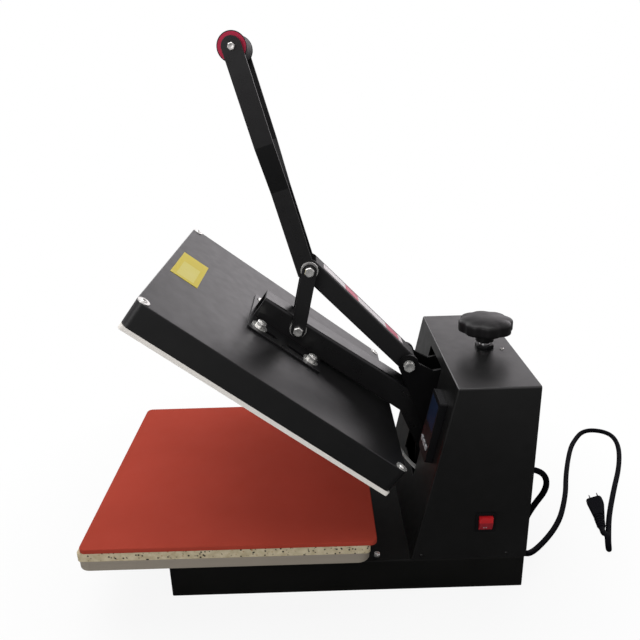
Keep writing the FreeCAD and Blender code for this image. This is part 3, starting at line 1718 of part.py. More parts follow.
link_bent = round_off("link_bent", link_blank, S.link_round, link_bend)
link_inside = block(
    "link_inside",
    even(arm_half - S.link_wall),
    (-S.link_half * 2, S.link_half - S.link_wall),
    (-S.link_half * 2, S.link_long + S.link_half * 2),
)
link_web_end = block(
    "link_web_end",
    even(arm_half - S.link_wall),
    (-S.link_half * 2, S.link_half * 2),
    (-S.link_half * 2, -S.slip),
)
link_web_head = block(
    "link_web_head",
    even(arm_half - S.link_wall),
    (-S.link_half * 2, S.link_half * 2),
    (S.link_long + S.slip, S.link_long + S.link_half * 2),
)
node(
    cut(
        "lever_channel",
        link_bent,
        link_inside,
        link_web_end,
        link_web_head,
        rod("link_foot_bore", "X", even(arm_half), origin, S.bush_round),
        rod("link_head_bore", "X", even(arm_half), link_end, bore_8),
    ),
    LEVER,
)
node(
    cut(
        "lever_bush",
        rod("bush_outer", "X", even(cheek_in - S.side_gap), origin, S.bush_round),
        rod("bush_bore", "X", even(cheek_in), origin, S.upper_bolt_round + S.running),
    ),
    LEVER,
)
node(rod("lever_pin", "X", even(pin_half - S.side_gap * HALF), link_end, S.stud_round), LEVER)

# Handle bars and grip, in the handle's frame: origin at the lever pin, +Z to the grip
bar_end = S.bar_long + S.bar_half
bar_foot = S.bar_half * 0.3
bar_toe = S.bar_half * 0.45
bar_cut = fuse(
    "bar_outline",
    profile(
        "bar_side",
        "YZ_Plane",
        even(arm_half + S.bar_jog + S.bar_thick * 2),
        [
            (-S.bar_half - S.bar_set, -bar_foot),
            (-bar_toe - S.bar_set, -S.bar_half),
            (bar_toe - S.bar_set, -S.bar_half),
            (S.bar_half - S.bar_set, -bar_foot),
            (S.bar_half, S.bar_long),
            (-S.bar_half, S.bar_long),
        ],
    ),
    rod(
        "bar_round_end",
        "X",
        even(arm_half + S.bar_jog + S.bar_thick * 2),
        (Size.of(0), S.bar_long),
        S.bar_half,
    ),
)
bars = []
for side in BESIDE:
    name = "bar_%d" % side
    inner = arm_half * side
    outer = pin_half * side
    jog = S.bar_jog * side
    strip = profile(
        name + "_strip",
        "XZ_Plane",
        even(S.bar_half + S.bar_set),
        [
            (inner, -S.bar_half),
            (outer, -S.bar_half),
            (outer, S.bar_jog_start),
            (outer + jog, S.bar_jog_end),
            (outer + jog, bar_end),
            (inner + jog, bar_end),
            (inner + jog, S.bar_jog_end),
            (inner, S.bar_jog_start),
        ],
    )
    bar_x = span(side, arm_half, pin_half)
    far_x = span(side, arm_half + S.bar_jog, pin_half + S.bar_jog)
    bars.append(
        cut(
            name,
            common(name + "_shaped", strip, bar_cut),
            rod(name + "_pin_bore", "X", bar_x, origin, bore_8),
            rod(name + "_grip_bore", "X", far_x, (Size.of(0), S.bar_long), bore_5),
        )
    )
node(group("handle_bars", bars), HANDLE)
grip_axis = (Size.of(0), S.bar_long)
grip_half = arm_half + S.bar_jog
sleeve_half = grip_half - S.disc_thick
node(rod("grip_rod", "X", even(grip_half), grip_axis, S.rod_round), HANDLE)
sleeve_blank = rod("sleeve_blank", "X", even(sleeve_half), grip_axis, S.sleeve_round)
sleeve_soft = round_off(
    "sleeve_soft", sleeve_blank, S.sleeve_round / 6, lambda e: e.BoundBox.YLength > number(S.sleeve_round)
)
node(
    cut(
        "grip_sleeve",
        sleeve_soft,
        rod("sleeve_bore", "X", even(sleeve_half), grip_axis, S.rod_round),
    ),
    HANDLE,
)
discs = []
grip_bolts = []
for side in BESIDE:
    x = span(side, sleeve_half, grip_half)
    discs.append(
        cut(
            "grip_disc_%d" % side,
            rod("grip_disc_blank_%d" % side, "X", x, grip_axis, S.disc_round),
            rod("grip_disc_bore_%d" % side, "X", x, grip_axis, S.rod_round),
        )
    )
    seat = grip_half + S.bar_thick
    grip_bolts.append(
        bolt(
            "grip_bolt_%d" % side,
            "X",
            seat if side > 0 else -seat,
            grip_axis,
            S.bar_thick,
            side,
            M5,
        )
    )
node(group("grip_discs", discs), HANDLE)
node(group("grip_bolts", grip_bolts), HANDLE)

# Heater leads: from the rear wall of the platen cover, slack, into the opening of the housing
leads = []
for x in lead_xs:
    start = PLATEN.multVec(Vector(x.value, 0, S.lead_rise.value))
    leave = PLATEN.Rotation.multVec(Vector(0, 1, 0))
    first = start + leave * 19
    side = x.value
    leads.append(
        tube(
            [
                tuple(start),
                tuple(first),
                (side, start.y + 28, start.z - 46),
                (side + 1, start.y + 50, start.z - 73),
                (side + 3, start.y + 72, start.z - 90),
                (side + 5, start.y + 86, start.z - 104),
            ],
            S.lead_round.value,
        )
    )
node(shaped("heater_leads", Part.makeCompound(leads)))

# Mains cord: gland on the rear cover, a short drop, then its slack on the floor to the plug
gland_axis = (S.gland_side, gland_z)
gland_end = rear + S.gland_out
gland_sleeve = S.gland_round * HALF + S.cord_round
node(
    cut(
        "cord_gland",
        fuse(
            "gland_whole",
            rod("gland_flange", "Y", (cover_out, cover_out + S.sheet), gland_axis, S.gland_flange),
            cone(
                "gland_cap",
                "Y",
                (cover_out + S.sheet, gland_end),
                gland_axis,
                S.gland_round + S.slip,
                S.cord_round + S.sheet * 0.7,
            ),
            rod("gland_tube", "Y", (gland_tip, cover_out), gland_axis, gland_sleeve - S.running),
        ),
        rod(
            "gland_bore",
            "Y",
            (gland_end - S.sheet, gland_end),
            gland_axis,
            S.cord_round + S.running,
        ),
    )
)
floor_gap = 0.05
lie = (S.cord_round + floor_gap).value
behind = rear.value
# X, and Y behind the housing: down from the gland, over the floor and back, and a fold at the plug
DROP_ROUTE = [
    (84.0, 30.2, gland_z.value),
    (79.5, 45.2, 124.0),
    (75.1, 23.7, 83.1),
    (86.0, 8.0, 57.4),
]
FLOOR_ROUTE = [
    (93.9, 13.6),
    (18.8, 91.1),
    (-62.2, 133.6),
    (-124.0, 156.7),
    (-192.7, 187.9),
    (-234.6, 211.2),
    (-283.1, 251.7),
    (-270.0, 296.2),
    (-224.2, 296.2),
    (-149.6, 264.3),
    (-75.6, 221.1),
    (-6.0, 182.7),
    (38.0, 162.85),
    (57.5, 154.45),
    (72.8, 148.75),
]
FOLD_ROUTE = [
    (79.0, 144.5, 11.6),
    (76.7, 143.4, 21.2),
    (68.2, 146.1, 25.3),
    (55.4, 149.05, 19.5),
]
fold_reach = 12.5
roll = math.radians(S.plug_roll.value)
plug_soft = min(S.plug_wide.value, S.plug_high.value) * 0.3
plug_level = floor_gap + plug_soft
plug_level += (S.plug_wide.value / 2 - plug_soft) * math.sin(roll)
plug_level += (S.plug_high.value / 2 - plug_soft) * math.cos(roll)
plug_face = Vector(-37.0, behind + 171.7, plug_level)
plug_way = (Vector(33.0, behind + 154.0, plug_level) - plug_face).normalize()
plug_rear = plug_face + plug_way * (S.plug_long + S.relief_long).value
points = [(S.gland_side.value, (gland_end - S.sheet).value, gland_z.value)]
points += [(x, y + behind, z) for x, y, z in DROP_ROUTE]
points += [(x, y + behind, lie) for x, y in FLOOR_ROUTE]
points += [(x, y + behind, z) for x, y, z in FOLD_ROUTE]
points += [tuple(plug_rear + plug_way * fold_reach), tuple(plug_rear)]
print("cord points", [tuple(round(c, 2) for c in p) for p in points])
node(shaped("mains_cord", tube(points, S.cord_round.value)))

# Plug, in its own frame: origin in the middle of its face, +Y back along the cord
PLUG = Placement(
    plug_face, Rotation(Vector(0, 1, 0), plug_way) * Rotation(Vector(0, 1, 0), S.plug_roll.value)
)


def section(wide, tall, y):
    """A rounded rectangle across the plug."""
    r = min(wide, tall) * 0.3
    w = wide / 2
    t = tall / 2
    edges = []
    corners = [(w, t, 0), (-w, t, 90), (-w, -t, 180), (w, -t, 270)]
    for i, (cx, cz, start) in enumerate(corners):
        ox = cx - math.copysign(r, cx)
        oz = cz - math.copysign(r, cz)
        spots = []
        for turn in (start, start + 45, start + 90):
            a = math.radians(turn)
            spots.append(Vector(ox + r * math.cos(a), y, oz + r * math.sin(a)))
        edges.append(Part.Arc(*spots).toShape())
    wire = []
    for i, edge in enumerate(edges):
        wire.append(edge)
        after = edges[(i + 1) % len(edges)]
        wire.append(Part.LineSegment(edge.Vertexes[1].Point, after.Vertexes[0].Point).toShape())
    return Part.Wire(wire)


plug_long = S.plug_long.value
waist = S.plug_waist.value
relief_start = waist * 0.46
plug_body = Part.makeLoft(
    [
        section(S.plug_wide.value, S.plug_high.value, 0),
        section(S.plug_wide.value, S.plug_high.value, plug_long * 0.2),
        section(waist, waist, plug_long),
    ],
    True,
    True,
)
relief_end = S.cord_round.value + 0.8
relief = Part.makeCone(
    relief_start, relief_end, S.relief_long.value, Vector(0, plug_long, 0), Vector(0, 1, 0)
)
ribs = []
for i in range(4):
    step = S.relief_long.value / 5
    at = plug_long + step * (i + 0.6)
    radius = relief_start - (relief_start - relief_end) * (at - plug_long) / S.relief_long.value
    ribs.append(
        Part.makeCylinder(radius + 0.9, step * 0.5, Vector(0, at, 0), Vector(0, 1, 0))
    )
plug_solid = plug_body.fuse([relief] + ribs).removeSplitter()
node(shaped("mains_plug", plug_solid), PLUG)
blades = []
for side in BESIDE:
    x = side * S.blade_pitch.value / 2 - S.blade_thick.value / 2
    blade = Part.makeBox(
        S.blade_thick.value,
        S.blade_long.value,
        S.blade_wide.value,
        Vector(x, -S.blade_long.value, -S.blade_wide.value / 2),
    )
    blades.append(blade)
node(shaped("plug_blades", Part.makeCompound(blades)), PLUG)

doc.recompute()

# Every object must have worked, and every node must be a sound solid, before anything is written
for obj in doc.Objects:
    faults = [word for word in obj.State if word in ("Invalid", "Error")]
    if faults:
        raise RuntimeError("%s did not compute: %s" % (obj.Label, faults))
for obj in NODES:
    shape = obj.Shape
    if shape.isNull() or not shape.isValid() or not shape.Solids:
        raise RuntimeError("%s is not a sound solid" % obj.Label)

os.makedirs("parts", exist_ok=True)
for obj in NODES:
    obj.Shape.exportStep("parts/%s.step" % obj.Label)

print("nodes %d, solids %d" % (len(NODES), sum(len(o.Shape.Solids) for o in NODES)))
print("hinge", HY, HZ, "upper", UY, UZ, "knee", knee_open, "top", top_open)
print("lever ratio %.5f, leg ratio %.5f" % (lever_ratio, leg_ratio))
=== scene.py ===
import logging
import math
from dataclasses import asdict, dataclass, field, fields, replace
from enum import Enum
from typing import Callable, Sequence

import bmesh
import bpy
from mathutils import Matrix, Vector


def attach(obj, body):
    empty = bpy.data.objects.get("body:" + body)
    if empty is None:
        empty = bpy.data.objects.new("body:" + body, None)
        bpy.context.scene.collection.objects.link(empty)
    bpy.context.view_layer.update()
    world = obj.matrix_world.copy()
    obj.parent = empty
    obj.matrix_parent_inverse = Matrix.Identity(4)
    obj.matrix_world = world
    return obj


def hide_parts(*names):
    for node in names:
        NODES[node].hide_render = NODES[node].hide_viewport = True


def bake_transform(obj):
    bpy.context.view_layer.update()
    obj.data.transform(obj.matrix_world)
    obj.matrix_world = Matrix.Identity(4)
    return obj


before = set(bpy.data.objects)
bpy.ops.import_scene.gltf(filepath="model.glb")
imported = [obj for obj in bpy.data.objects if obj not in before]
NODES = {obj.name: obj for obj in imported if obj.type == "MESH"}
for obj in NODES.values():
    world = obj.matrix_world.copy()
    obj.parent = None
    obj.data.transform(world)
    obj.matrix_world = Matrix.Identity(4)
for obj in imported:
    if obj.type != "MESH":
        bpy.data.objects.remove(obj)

log = logging.getLogger("heat_press")
MM = 0.001
WELD = 2e-6
Point = tuple[float, float, float]
Stops = Sequence[tuple[float, float]]
Object = bpy.types.Object
Mesh = bpy.types.Mesh
Material = bpy.types.Material
Node = bpy.types.Node
Socket = bpy.types.NodeSocket


class Body(Enum):
    """The bodies that finished pieces ride on."""

    FRAME = "frame"
    PLATEN = "platen_arm"
    LEGS = "toggle_legs"
    LEVER = "handle_lever"
    KNOB = "pressure_knob"
    ROCKER = "power_rocker"
    KEY_LEFT = "key_left"
    KEY_MIDDLE = "key_middle"
    KEY_RIGHT = "key_right"


class Grain(Enum):
    """The ways in which a surface can be broken up."""

    PEEL = "peel"
    BRUSHED = "brushed"
    MATT = "matt"
    FIBRE = "fibre"


def turned_about_x(origin: Point, degrees: float) -> Matrix:
    """A frame in millimetres turned about X.

    Args:
        origin: where the frame stands, in millimetres.
        degrees: its turn about X.

    Returns:
        The matrix that takes millimetres in that frame to metres on the press.
    """
    turn = Matrix.Rotation(math.radians(degrees), 4, "X")
    return Matrix.Scale(MM, 4) @ Matrix.Translation(origin) @ turn


PLATEN_FRAME = turned_about_x((0.0, 99.05, 192.10), -37.55)
LEVER_FRAME = turned_about_x((0.0, 146.95, 295.80), 43.66)
HANDLE_FRAME = turned_about_x((0.0, 11.42, 437.80), 16.46)
ROW_FRAME = Matrix.Scale(MM, 4)
UP = Vector((0, 0, 1))


def metres(place: Point) -> Point:
    """A place in millimetres, in metres."""
    return tuple(c * MM for c in place)


def added(name: str, data: bpy.types.ID) -> Object:
    """A new object in the scene.

    Args:
        name: its name.
        data: its mesh, curve, lamp or camera.

    Returns:
        The object.
    """
    obj = bpy.data.objects.new(name, data)
    bpy.context.scene.collection.objects.link(obj)
    return obj


def evaluated_mesh(obj: Object) -> Mesh:
    """The plain mesh of an object with its modifiers applied.

    Args:
        obj: the object.

    Returns:
        A new mesh.
    """
    graph = bpy.context.evaluated_depsgraph_get()
    graph.update()
    return bpy.data.meshes.new_from_object(obj.evaluated_get(graph))


def plain(obj: Object) -> Mesh:
    """Applies an object's modifiers in place.

    Args:
        obj: the object.

    Returns:
        The mesh that it has now.
    """
    mesh = evaluated_mesh(obj)
    obj.modifiers.clear()
    obj.data = mesh
    mesh.name = obj.name
    return mesh


def settle(obj: Object, sharp: float = 38.0) -> Object:
    """Applies an object's modifiers and shades it smooth between its sharp edges.

    Args:
        obj: the object, a mesh with or without modifiers.
        sharp: the angle in degrees from which an edge stays sharp.

    Returns:
        The same object with a plain mesh.
    """
    mesh = plain(obj)
    mesh.shade_smooth()
    mesh.set_sharp_from_angle(angle=math.radians(sharp))
    return obj


def lofted(name: str, rings: Sequence[Sequence[Point]], place: Matrix = ROW_FRAME) -> Object:
    """A skin over rings of points, closed at both ends.

    Args:
        name: the piece's name.
        rings: rings of the same number of points each, in millimetres.
        place: the frame that the points are in.

    Returns:
        The new object, at the origin, with outward faces.
    """
    count = len(rings[0])
    last = (len(rings) - 1) * count
    faces: list[list[int]] = []
    for low in range(0, last, count):
        for i in range(count):
            j = (i + 1) % count
            faces.append([low + i, low + j, low + count + j, low + count + i])
    faces += [list(range(count)), list(range(last, last + count))]
    mesh = bpy.data.meshes.new(name)
    mesh.from_pydata([place @ Vector(p) for ring in rings for p in ring], [], faces)
    work = bmesh.new()
    work.from_mesh(mesh)
    bmesh.ops.remove_doubles(work, verts=work.verts, dist=1e-6)
    bmesh.ops.recalc_face_normals(work, faces=work.faces)
    work.to_mesh(mesh)
    work.free()
    return added(name, mesh)


def circle(x: float, y: float, radius: float, count: int) -> list[tuple[float, float]]:
    """Points evenly round a circle."""
    turns = (math.tau * i / count for i in range(count))
    return [(x + radius * math.cos(a), y + radius * math.sin(a)) for a in turns]


def softened(node: str, width: float, segments: int = 2, least: float = 32.0) -> Object:
    """A finished copy of a solid, with its sharp edges rounded as on real sheet and bar.

    Args:
        node: the solid's name.
        width: width of the rounding in millimetres.
        segments: faces across it.
        least: the angle in degrees from which an edge is rounded.

    Returns:
        The copy, with a plain mesh.
    """
    work = bmesh.new()
    work.from_mesh(NODES[node].data)
    bmesh.ops.remove_doubles(work, verts=work.verts, dist=WELD)
    bmesh.ops.dissolve_limit(
        work, angle_limit=math.radians(0.5), verts=work.verts, edges=work.edges
    )
    mesh = bpy.data.meshes.new(node + "_finished")
    work.to_mesh(mesh)
    work.free()
    if "custom_normal" in mesh.attributes:
        mesh.attributes.remove(mesh.attributes["custom_normal"])
    copy = added(node + "_finished", mesh)
    bevel = copy.modifiers.new("edges", "BEVEL")
    bevel.width = width * MM
    bevel.segments = segments
    bevel.limit_method = "ANGLE"
    bevel.angle_limit = math.radians(least)
    bevel.use_clamp_overlap = True
    settle(copy)
    weighted = copy.modifiers.new("flat faces", "WEIGHTED_NORMAL")
    weighted.mode = "FACE_AREA"
    weighted.weight = 80
    weighted.keep_sharp = True
    plain(copy)
    return copy


class Nodes:
    """A node tree under construction, with short ways to add its nodes."""

    def __init__(self, tree: bpy.types.NodeTree) -> None:
        """Takes a tree and empties it."""
        self.tree = tree
        tree.nodes.clear()

    def feed(self, node: Node, inputs: dict[str | int, object]) -> Node:
        """Links or sets inputs of a node.

        Args:
            node: the node.
            inputs: a socket or a value for each input, by its name or place.

        Returns:
            The same node.
        """
        for key, value in inputs.items():
            if isinstance(value, Socket):
                self.tree.links.new(value, node.inputs[key])
            else:
                node.inputs[key].default_value = value
        return node

    def add(
        self, kind: str, inputs: dict[str | int, object] | None = None, **settings: object
    ) -> Node:
        """A new node.

        Args:
            kind: the node's type.
            inputs: a socket or a value for each input.
            **settings: the node's own settings.

        Returns:
            The node.
        """
        node = self.tree.nodes.new(kind)
        for key, value in settings.items():
            setattr(node, key, value)
        return self.feed(node, inputs or {})

    def math(self, operation: str, *values: object) -> Socket:
        """A sum on values and sockets."""
        return self.add("ShaderNodeMath", dict(enumerate(values)), operation=operation).outputs[0]

    def ranged(
        self,
        source: Socket,
        low: float,
        high: float,
        to_low: float = 0.0,
        to_high: float = 1.0,
        curve: str = "LINEAR",
    ) -> Socket:
        """A value carried from one range to another and held there.

        Args:
            source: the value.
            low: where the first range starts.
            high: where it ends.
            to_low: where the second range starts.
            to_high: where it ends.
            curve: how the value runs between the ends.

        Returns:
            The new value.
        """
        ends = {"From Min": low, "From Max": high, "To Min": to_low, "To Max": to_high}
        node = self.add("ShaderNodeMapRange", {"Value": source, **ends}, interpolation_type=curve)
        return node.outputs["Result"]

    def between(self, share: Socket, first: Socket | float, second: Socket | float) -> Socket:
        """Two values mixed by a share."""
        inputs = {0: share, 2: first, 3: second}
        return self.add("ShaderNodeMix", inputs, data_type="FLOAT").outputs[0]

    def mixed(self, share: Socket, first: Socket | Point, second: Socket | Point) -> Socket:
        """Two colours mixed by a share.

        Args:
            share: the share of the second colour.
            first: the first colour.
            second: the second one.

        Returns:
            The mixed colour.
        """
        first, second = ((*c, 1.0) if isinstance(c, tuple) else c for c in (first, second))
        inputs = {0: share, 6: first, 7: second}
        return self.add("ShaderNodeMix", inputs, data_type="RGBA").outputs[2]

    def vector(self, *parts: Socket | float) -> Socket:
        """A vector from its parts."""
        return self.add("ShaderNodeCombineXYZ", dict(enumerate(parts))).outputs[0]

    def parts(self, vector: Socket) -> list[Socket]:
        """The three parts of a vector."""
        return list(self.add("ShaderNodeSeparateXYZ", {0: vector}).outputs)

    def length(self, vector: Socket) -> Socket:
        """The length of a vector."""
        return self.add("ShaderNodeVectorMath", {0: vector}, operation="LENGTH").outputs["Value"]


@dataclass(frozen=True)
class Cloud:
    """Noise of a scale per metre, carried from one range of its values to another."""

    scale: float
    detail: float
    low: float
    high: float
    to_low: float = 0.0
    to_high: float = 1.0


@dataclass(frozen=True)
class Relief:
    """The grain of a surface: noise of a scale per metre, its strength and its depth in mm."""

    scale: float
    detail: float
    strength: float
    depth: float


class Shader(Nodes):
    """A material under construction, on a piece's own coordinates."""

    def __init__(self, name: str) -> None:
        """Starts a material with a Principled shader.

        Args:
            name: the material's name.
        """
        self.material = bpy.data.materials.new(name)
        self.material.use_nodes = True
        super().__init__(self.material.node_tree)
        self.face = self.add("ShaderNodeBsdfPrincipled")
        self.add("ShaderNodeOutputMaterial", {0: self.face.outputs[0]})
        self.place = self.add("ShaderNodeTexCoord").outputs["Object"]

    def mapped(
        self, stretch: Point = (1, 1, 1), turn: Point = (0, 0, 0), move: Point = (0, 0, 0)
    ) -> Socket:
        """Object coordinates moved, turned and stretched."""
        inputs = {"Vector": self.place, "Location": move, "Rotation": turn, "Scale": stretch}
        return self.add("ShaderNodeMapping", inputs).outputs[0]

    def framed(self, place: Matrix) -> list[Socket]:
        """The coordinates along the axes of a tilted frame, in metres.

        Args:
            place: the frame.

        Returns:
            The three coordinates.
        """
        inverse = place.inverted()
        turn, move = tuple(inverse.to_euler()), tuple(inverse.translation * MM)
        return self.parts(self.mapped(turn=turn, move=move))

    def noise(self, scale: float, detail: float, vector: Socket | None = None) -> Socket:
        """Noise of a scale per metre."""
        inputs = {"Scale": scale, "Detail": detail, "Vector": vector or self.place}
        return self.add("ShaderNodeTexNoise", inputs).outputs["Fac"]

    def cloud(self, kind: Cloud) -> Socket:
        """Noise, carried from one range of its values to another."""
        noise = self.noise(kind.scale, kind.detail)
        return self.ranged(noise, kind.low, kind.high, kind.to_low, kind.to_high)

    def spots(self, scale: float, low: float, high: float) -> Socket:
        """Soft spots, 1 inside and 0 outside, from cells of a scale per metre."""
        cells = self.add("ShaderNodeTexVoronoi", {"Scale": scale, "Vector": self.place})
        return self.ranged(cells.outputs["Distance"], low, high, 1.0, 0.0)

    def band(self, source: Socket, low: float, high: float, edge: float) -> Socket:
        """1 between two values and 0 outside, with soft edges.

        Args:
            source: the value.
            low: where the band starts.
            high: where it ends.
            edge: half the width of each edge.

        Returns:
            The share, 0 to 1.
        """
        rise = self.ranged(source, low - edge, low + edge)
        fall = self.ranged(source, high - edge, high + edge, 1.0, 0.0)
        return self.math("MULTIPLY", rise, fall)

    def surface(
        self,
        colour: Socket,
        gloss: Cloud,
        relief: Relief,
        specular: float = 0.5,
        metallic: float = 0.0,
        vector: Socket | None = None,
    ) -> Material:
        """Sets what the surface looks like.

        Args:
            colour: its colour.
            gloss: its roughness.
            relief: its grain.
            specular: its reflection head on, 0.5 for common plastic.
            metallic: 1 for bare metal.
            vector: the coordinates of its grain, where they are stretched.

        Returns:
            The finished material.
        """
        grain = self.noise(relief.scale, relief.detail, vector)
        inputs = {"Height": grain, "Strength": relief.strength, "Distance": relief.depth * MM}
        self.feed(self.face, {
            "Base Color": colour, "Roughness": self.cloud(gloss), "Specular IOR Level": specular,
            "Metallic": metallic, "Normal": self.add("ShaderNodeBump", inputs).outputs[0]})
        return self.material


@dataclass(frozen=True)
class Surface:
    """A finish of the press, by the name of its material."""

    name: str

    def build(self) -> Material:
        """The finish as a material."""
        raise NotImplementedError(self.name)


def material_of(finish: Surface) -> Material:
    """The material of a finish, built once."""
    return bpy.data.materials.get(finish.name) or finish.build()


@dataclass(frozen=True)
class Finish(Surface):
    """A plain finish: its colour, its gloss and the grain of its surface, with depths in mm."""

    colour: Point
    roughness: float
    spread: float = 0.05
    specular: float = 0.5
    grain: Grain = Grain.MATT
    coarse: float = 900.0
    depth: float = 0.04
    lighter: float = 1.18
    metallic: float = 0.0
    lift: float = 0.001
    patches: Cloud = Cloud(9.0, 4.0, 0.38, 0.66)
    gloss: Cloud = Cloud(60.0, 6.0, 0.3, 0.72)
    detail: float = 3.0
    strength: float = 0.55
    peel_strength: float = 0.35
    brushed: Point = (0.03, 1.0, 1.0)
    woven: Point = (1.0, 0.25, 1.0)

    def build(self) -> Material:
        """The finish as a material.

        Returns:
            The material.
        """
        shader = Shader(self.name)
        vector = None
        if self.grain is Grain.BRUSHED:
            vector = shader.mapped(stretch=self.brushed)
        elif self.grain is Grain.FIBRE:
            vector = shader.mapped(stretch=self.woven)
        lighter = tuple(min(1.0, c * self.lighter + self.lift) for c in self.colour)
        low, high = self.roughness - self.spread, self.roughness + self.spread
        strength = self.peel_strength if self.grain is Grain.PEEL else self.strength
        return shader.surface(
            shader.mixed(shader.cloud(self.patches), self.colour, lighter),
            replace(self.gloss, to_low=low, to_high=high),
            Relief(self.coarse, self.detail, strength, self.depth),
            self.specular, self.metallic, vector,
        )


@dataclass(frozen=True)
class SpeckledBoard(Surface):
    """Pressed mineral board: pale binder with dark and rusty specks."""

    name: str = "mineral board"
    binder: Point = (0.55, 0.475, 0.33)
    shade: Point = (0.42, 0.35, 0.225)
    speck: Point = (0.025, 0.020, 0.016)
    rust: Point = (0.30, 0.15, 0.06)
    rust_patches: Cloud = Cloud(38.0, 2.0, 0.46, 0.62)
    rust_spots: Point = (150.0, 0.12, 0.26)
    dark_patches: Cloud = Cloud(90.0, 1.0, 0.47, 0.53)
    dark_spots: Point = (230.0, 0.26, 0.36)
    mottle: Cloud = Cloud(120.0, 6.0, 0.35, 0.65)
    gloss: Cloud = Cloud(300.0, 3.0, 0.3, 0.7, 0.72, 0.92)
    relief: Relief = Relief(700.0, 5.0, 0.5, 0.2)
    specular: float = 0.3

    def build(self) -> Material:
        """The board as a material.

        Returns:
            The material.
        """
        shader = Shader(self.name)
        rusty, dark = (
            shader.math("MULTIPLY", shader.spots(*spots), shader.cloud(patches))
            for spots, patches in (
                (self.rust_spots, self.rust_patches), (self.dark_spots, self.dark_patches)
            )
        )
        base = shader.mixed(shader.cloud(self.mottle), self.binder, self.shade)
        colour = shader.mixed(dark, shader.mixed(rusty, base, self.rust), self.speck)
        return shader.surface(colour, self.gloss, self.relief, self.specular)


@dataclass(frozen=True)
class BlankPlaque(Surface):
    """A plain yellow plate with a paler field, and nothing written on it. Sizes are in metres."""

    name: str = "blank plaque"
    ground: Point = (0.62, 0.50, 0.075)
    field: Point = (0.66, 0.58, 0.17)
    worn: Point = (0.60, 0.48, 0.08)
    sides: tuple[float, float] = (-0.015, 0.042)
    ends: tuple[float, float] = (-0.362, -0.336)
    edge: float = 0.0004
    wear: Cloud = Cloud(220.0, 4.0, 0.56, 0.72, 0.0, 0.35)
    gloss: Cloud = Cloud(40.0, 4.0, 0.3, 0.7, 0.44, 0.56)
    relief: Relief = Relief(500.0, 2.0, 0.25, 0.03)
    specular: float = 0.15

    def build(self) -> Material:
        """The plaque as a material, in the platen's own frame.

        Returns:
            The material.
        """
        shader = Shader(self.name)
        along, across, _ = shader.framed(PLATEN_FRAME)
        inside = shader.math(
            "MULTIPLY", shader.band(along, *self.sides, self.edge),
            shader.band(across, *self.ends, self.edge),
        )
        base = shader.mixed(inside, self.ground, self.field)
        colour = shader.mixed(shader.cloud(self.wear), base, self.worn)
        return shader.surface(colour, self.gloss, self.relief, self.specular)


@dataclass(frozen=True)
class BandedStrip(Surface):
    """A pale wordless strip with two red bands, at their places along the link in metres."""

    name: str = "banded strip"
    pale: Point = (0.82, 0.76, 0.78)
    red: Point = (0.62, 0.10, 0.17)
    scuff: Point = (0.56, 0.50, 0.51)
    bands: Stops = ((0.032, 0.058), (0.114, 0.140))
    edge: float = 0.0006
    wear: Cloud = Cloud(150.0, 5.0, 0.55, 0.75, 0.0, 0.4)
    gloss: Cloud = Cloud(50.0, 3.0, 0.3, 0.7, 0.30, 0.42)
    relief: Relief = Relief(400.0, 2.0, 0.2, 0.03)

    def build(self) -> Material:
        """The strip as a material, along the link's own length.

        Returns:
            The material.
        """
        shader = Shader(self.name)
        along = shader.framed(LEVER_FRAME)[2]
        base: Socket | Point = self.pale
        for low, high in self.bands:
            base = shader.mixed(shader.band(along, low, high, self.edge), base, self.red)
        colour = shader.mixed(shader.cloud(self.wear), base, self.scuff)
        return shader.surface(colour, self.gloss, self.relief)


@dataclass(frozen=True)
class RingedDisc(Surface):
    """A black end disc with a red ring on its face."""

    name: str = "ringed disc"
    red: Point = (0.50, 0.016, 0.060)
    black: Point = (0.006, 0.006, 0.007)
    ring_round: float = 0.0166
    edge: float = 0.0004
    grip: float = 290.2
    gloss: Cloud = Cloud(80.0, 3.0, 0.3, 0.7, 0.36, 0.48)
    relief: Relief = Relief(900.0, 2.0, 0.2, 0.02)
    specular: float = 0.3

    def build(self) -> Material:
        """The disc as a material, about the middle of the grip.

        Returns:
            The material.
        """
        shader = Shader(self.name)
        centre = HANDLE_FRAME @ Vector((0, 0, self.grip))
        _, along, up = shader.parts(shader.mapped(move=(0.0, -centre.y, -centre.z)))
        far = shader.length(shader.vector(0.0, along, up))
        rim = shader.ranged(far, self.ring_round, self.ring_round + self.edge)
        colour = shader.mixed(rim, self.red, self.black)
        return shader.surface(colour, self.gloss, self.relief, self.specular)


@dataclass(frozen=True)
class RockerWithPaintedLight(Surface):
    """Red rocker with painted light: its upper half is coloured lighter as if lit, and its lower half
    darker as painted shade.
    """

    name: str = "red rocker"
    # painted light: upper is the lit red and lower is the same red in painted shade
    upper: Point = (0.52, 0.012, 0.016)
    lower: Point = (0.26, 0.012, 0.020)
    dull: Point = (0.34, 0.010, 0.016)
    ridge: float = 0.1119
    edge: float = 0.0004
    wear: Cloud = Cloud(420.0, 3.0, 0.35, 0.65, 0.0, 0.25)
    gloss: Cloud = Cloud(90.0, 3.0, 0.3, 0.7, 0.30, 0.40)
    relief: Relief = Relief(900.0, 2.0, 0.2, 0.02)
    specular: float = 0.25

    def build(self) -> Material:
        """The rocker as a material.

        Returns:
            The material.
        """
        shader = Shader(self.name)
        high = shader.parts(shader.place)[2]
        # painted light: lighter red above the ridge, painted shade below it
        share = shader.ranged(high, self.ridge - self.edge, self.ridge + self.edge)
        red = shader.mixed(share, self.lower, self.upper)
        colour = shader.mixed(shader.cloud(self.wear), red, self.dull)
        return shader.surface(colour, self.gloss, self.relief, self.specular)


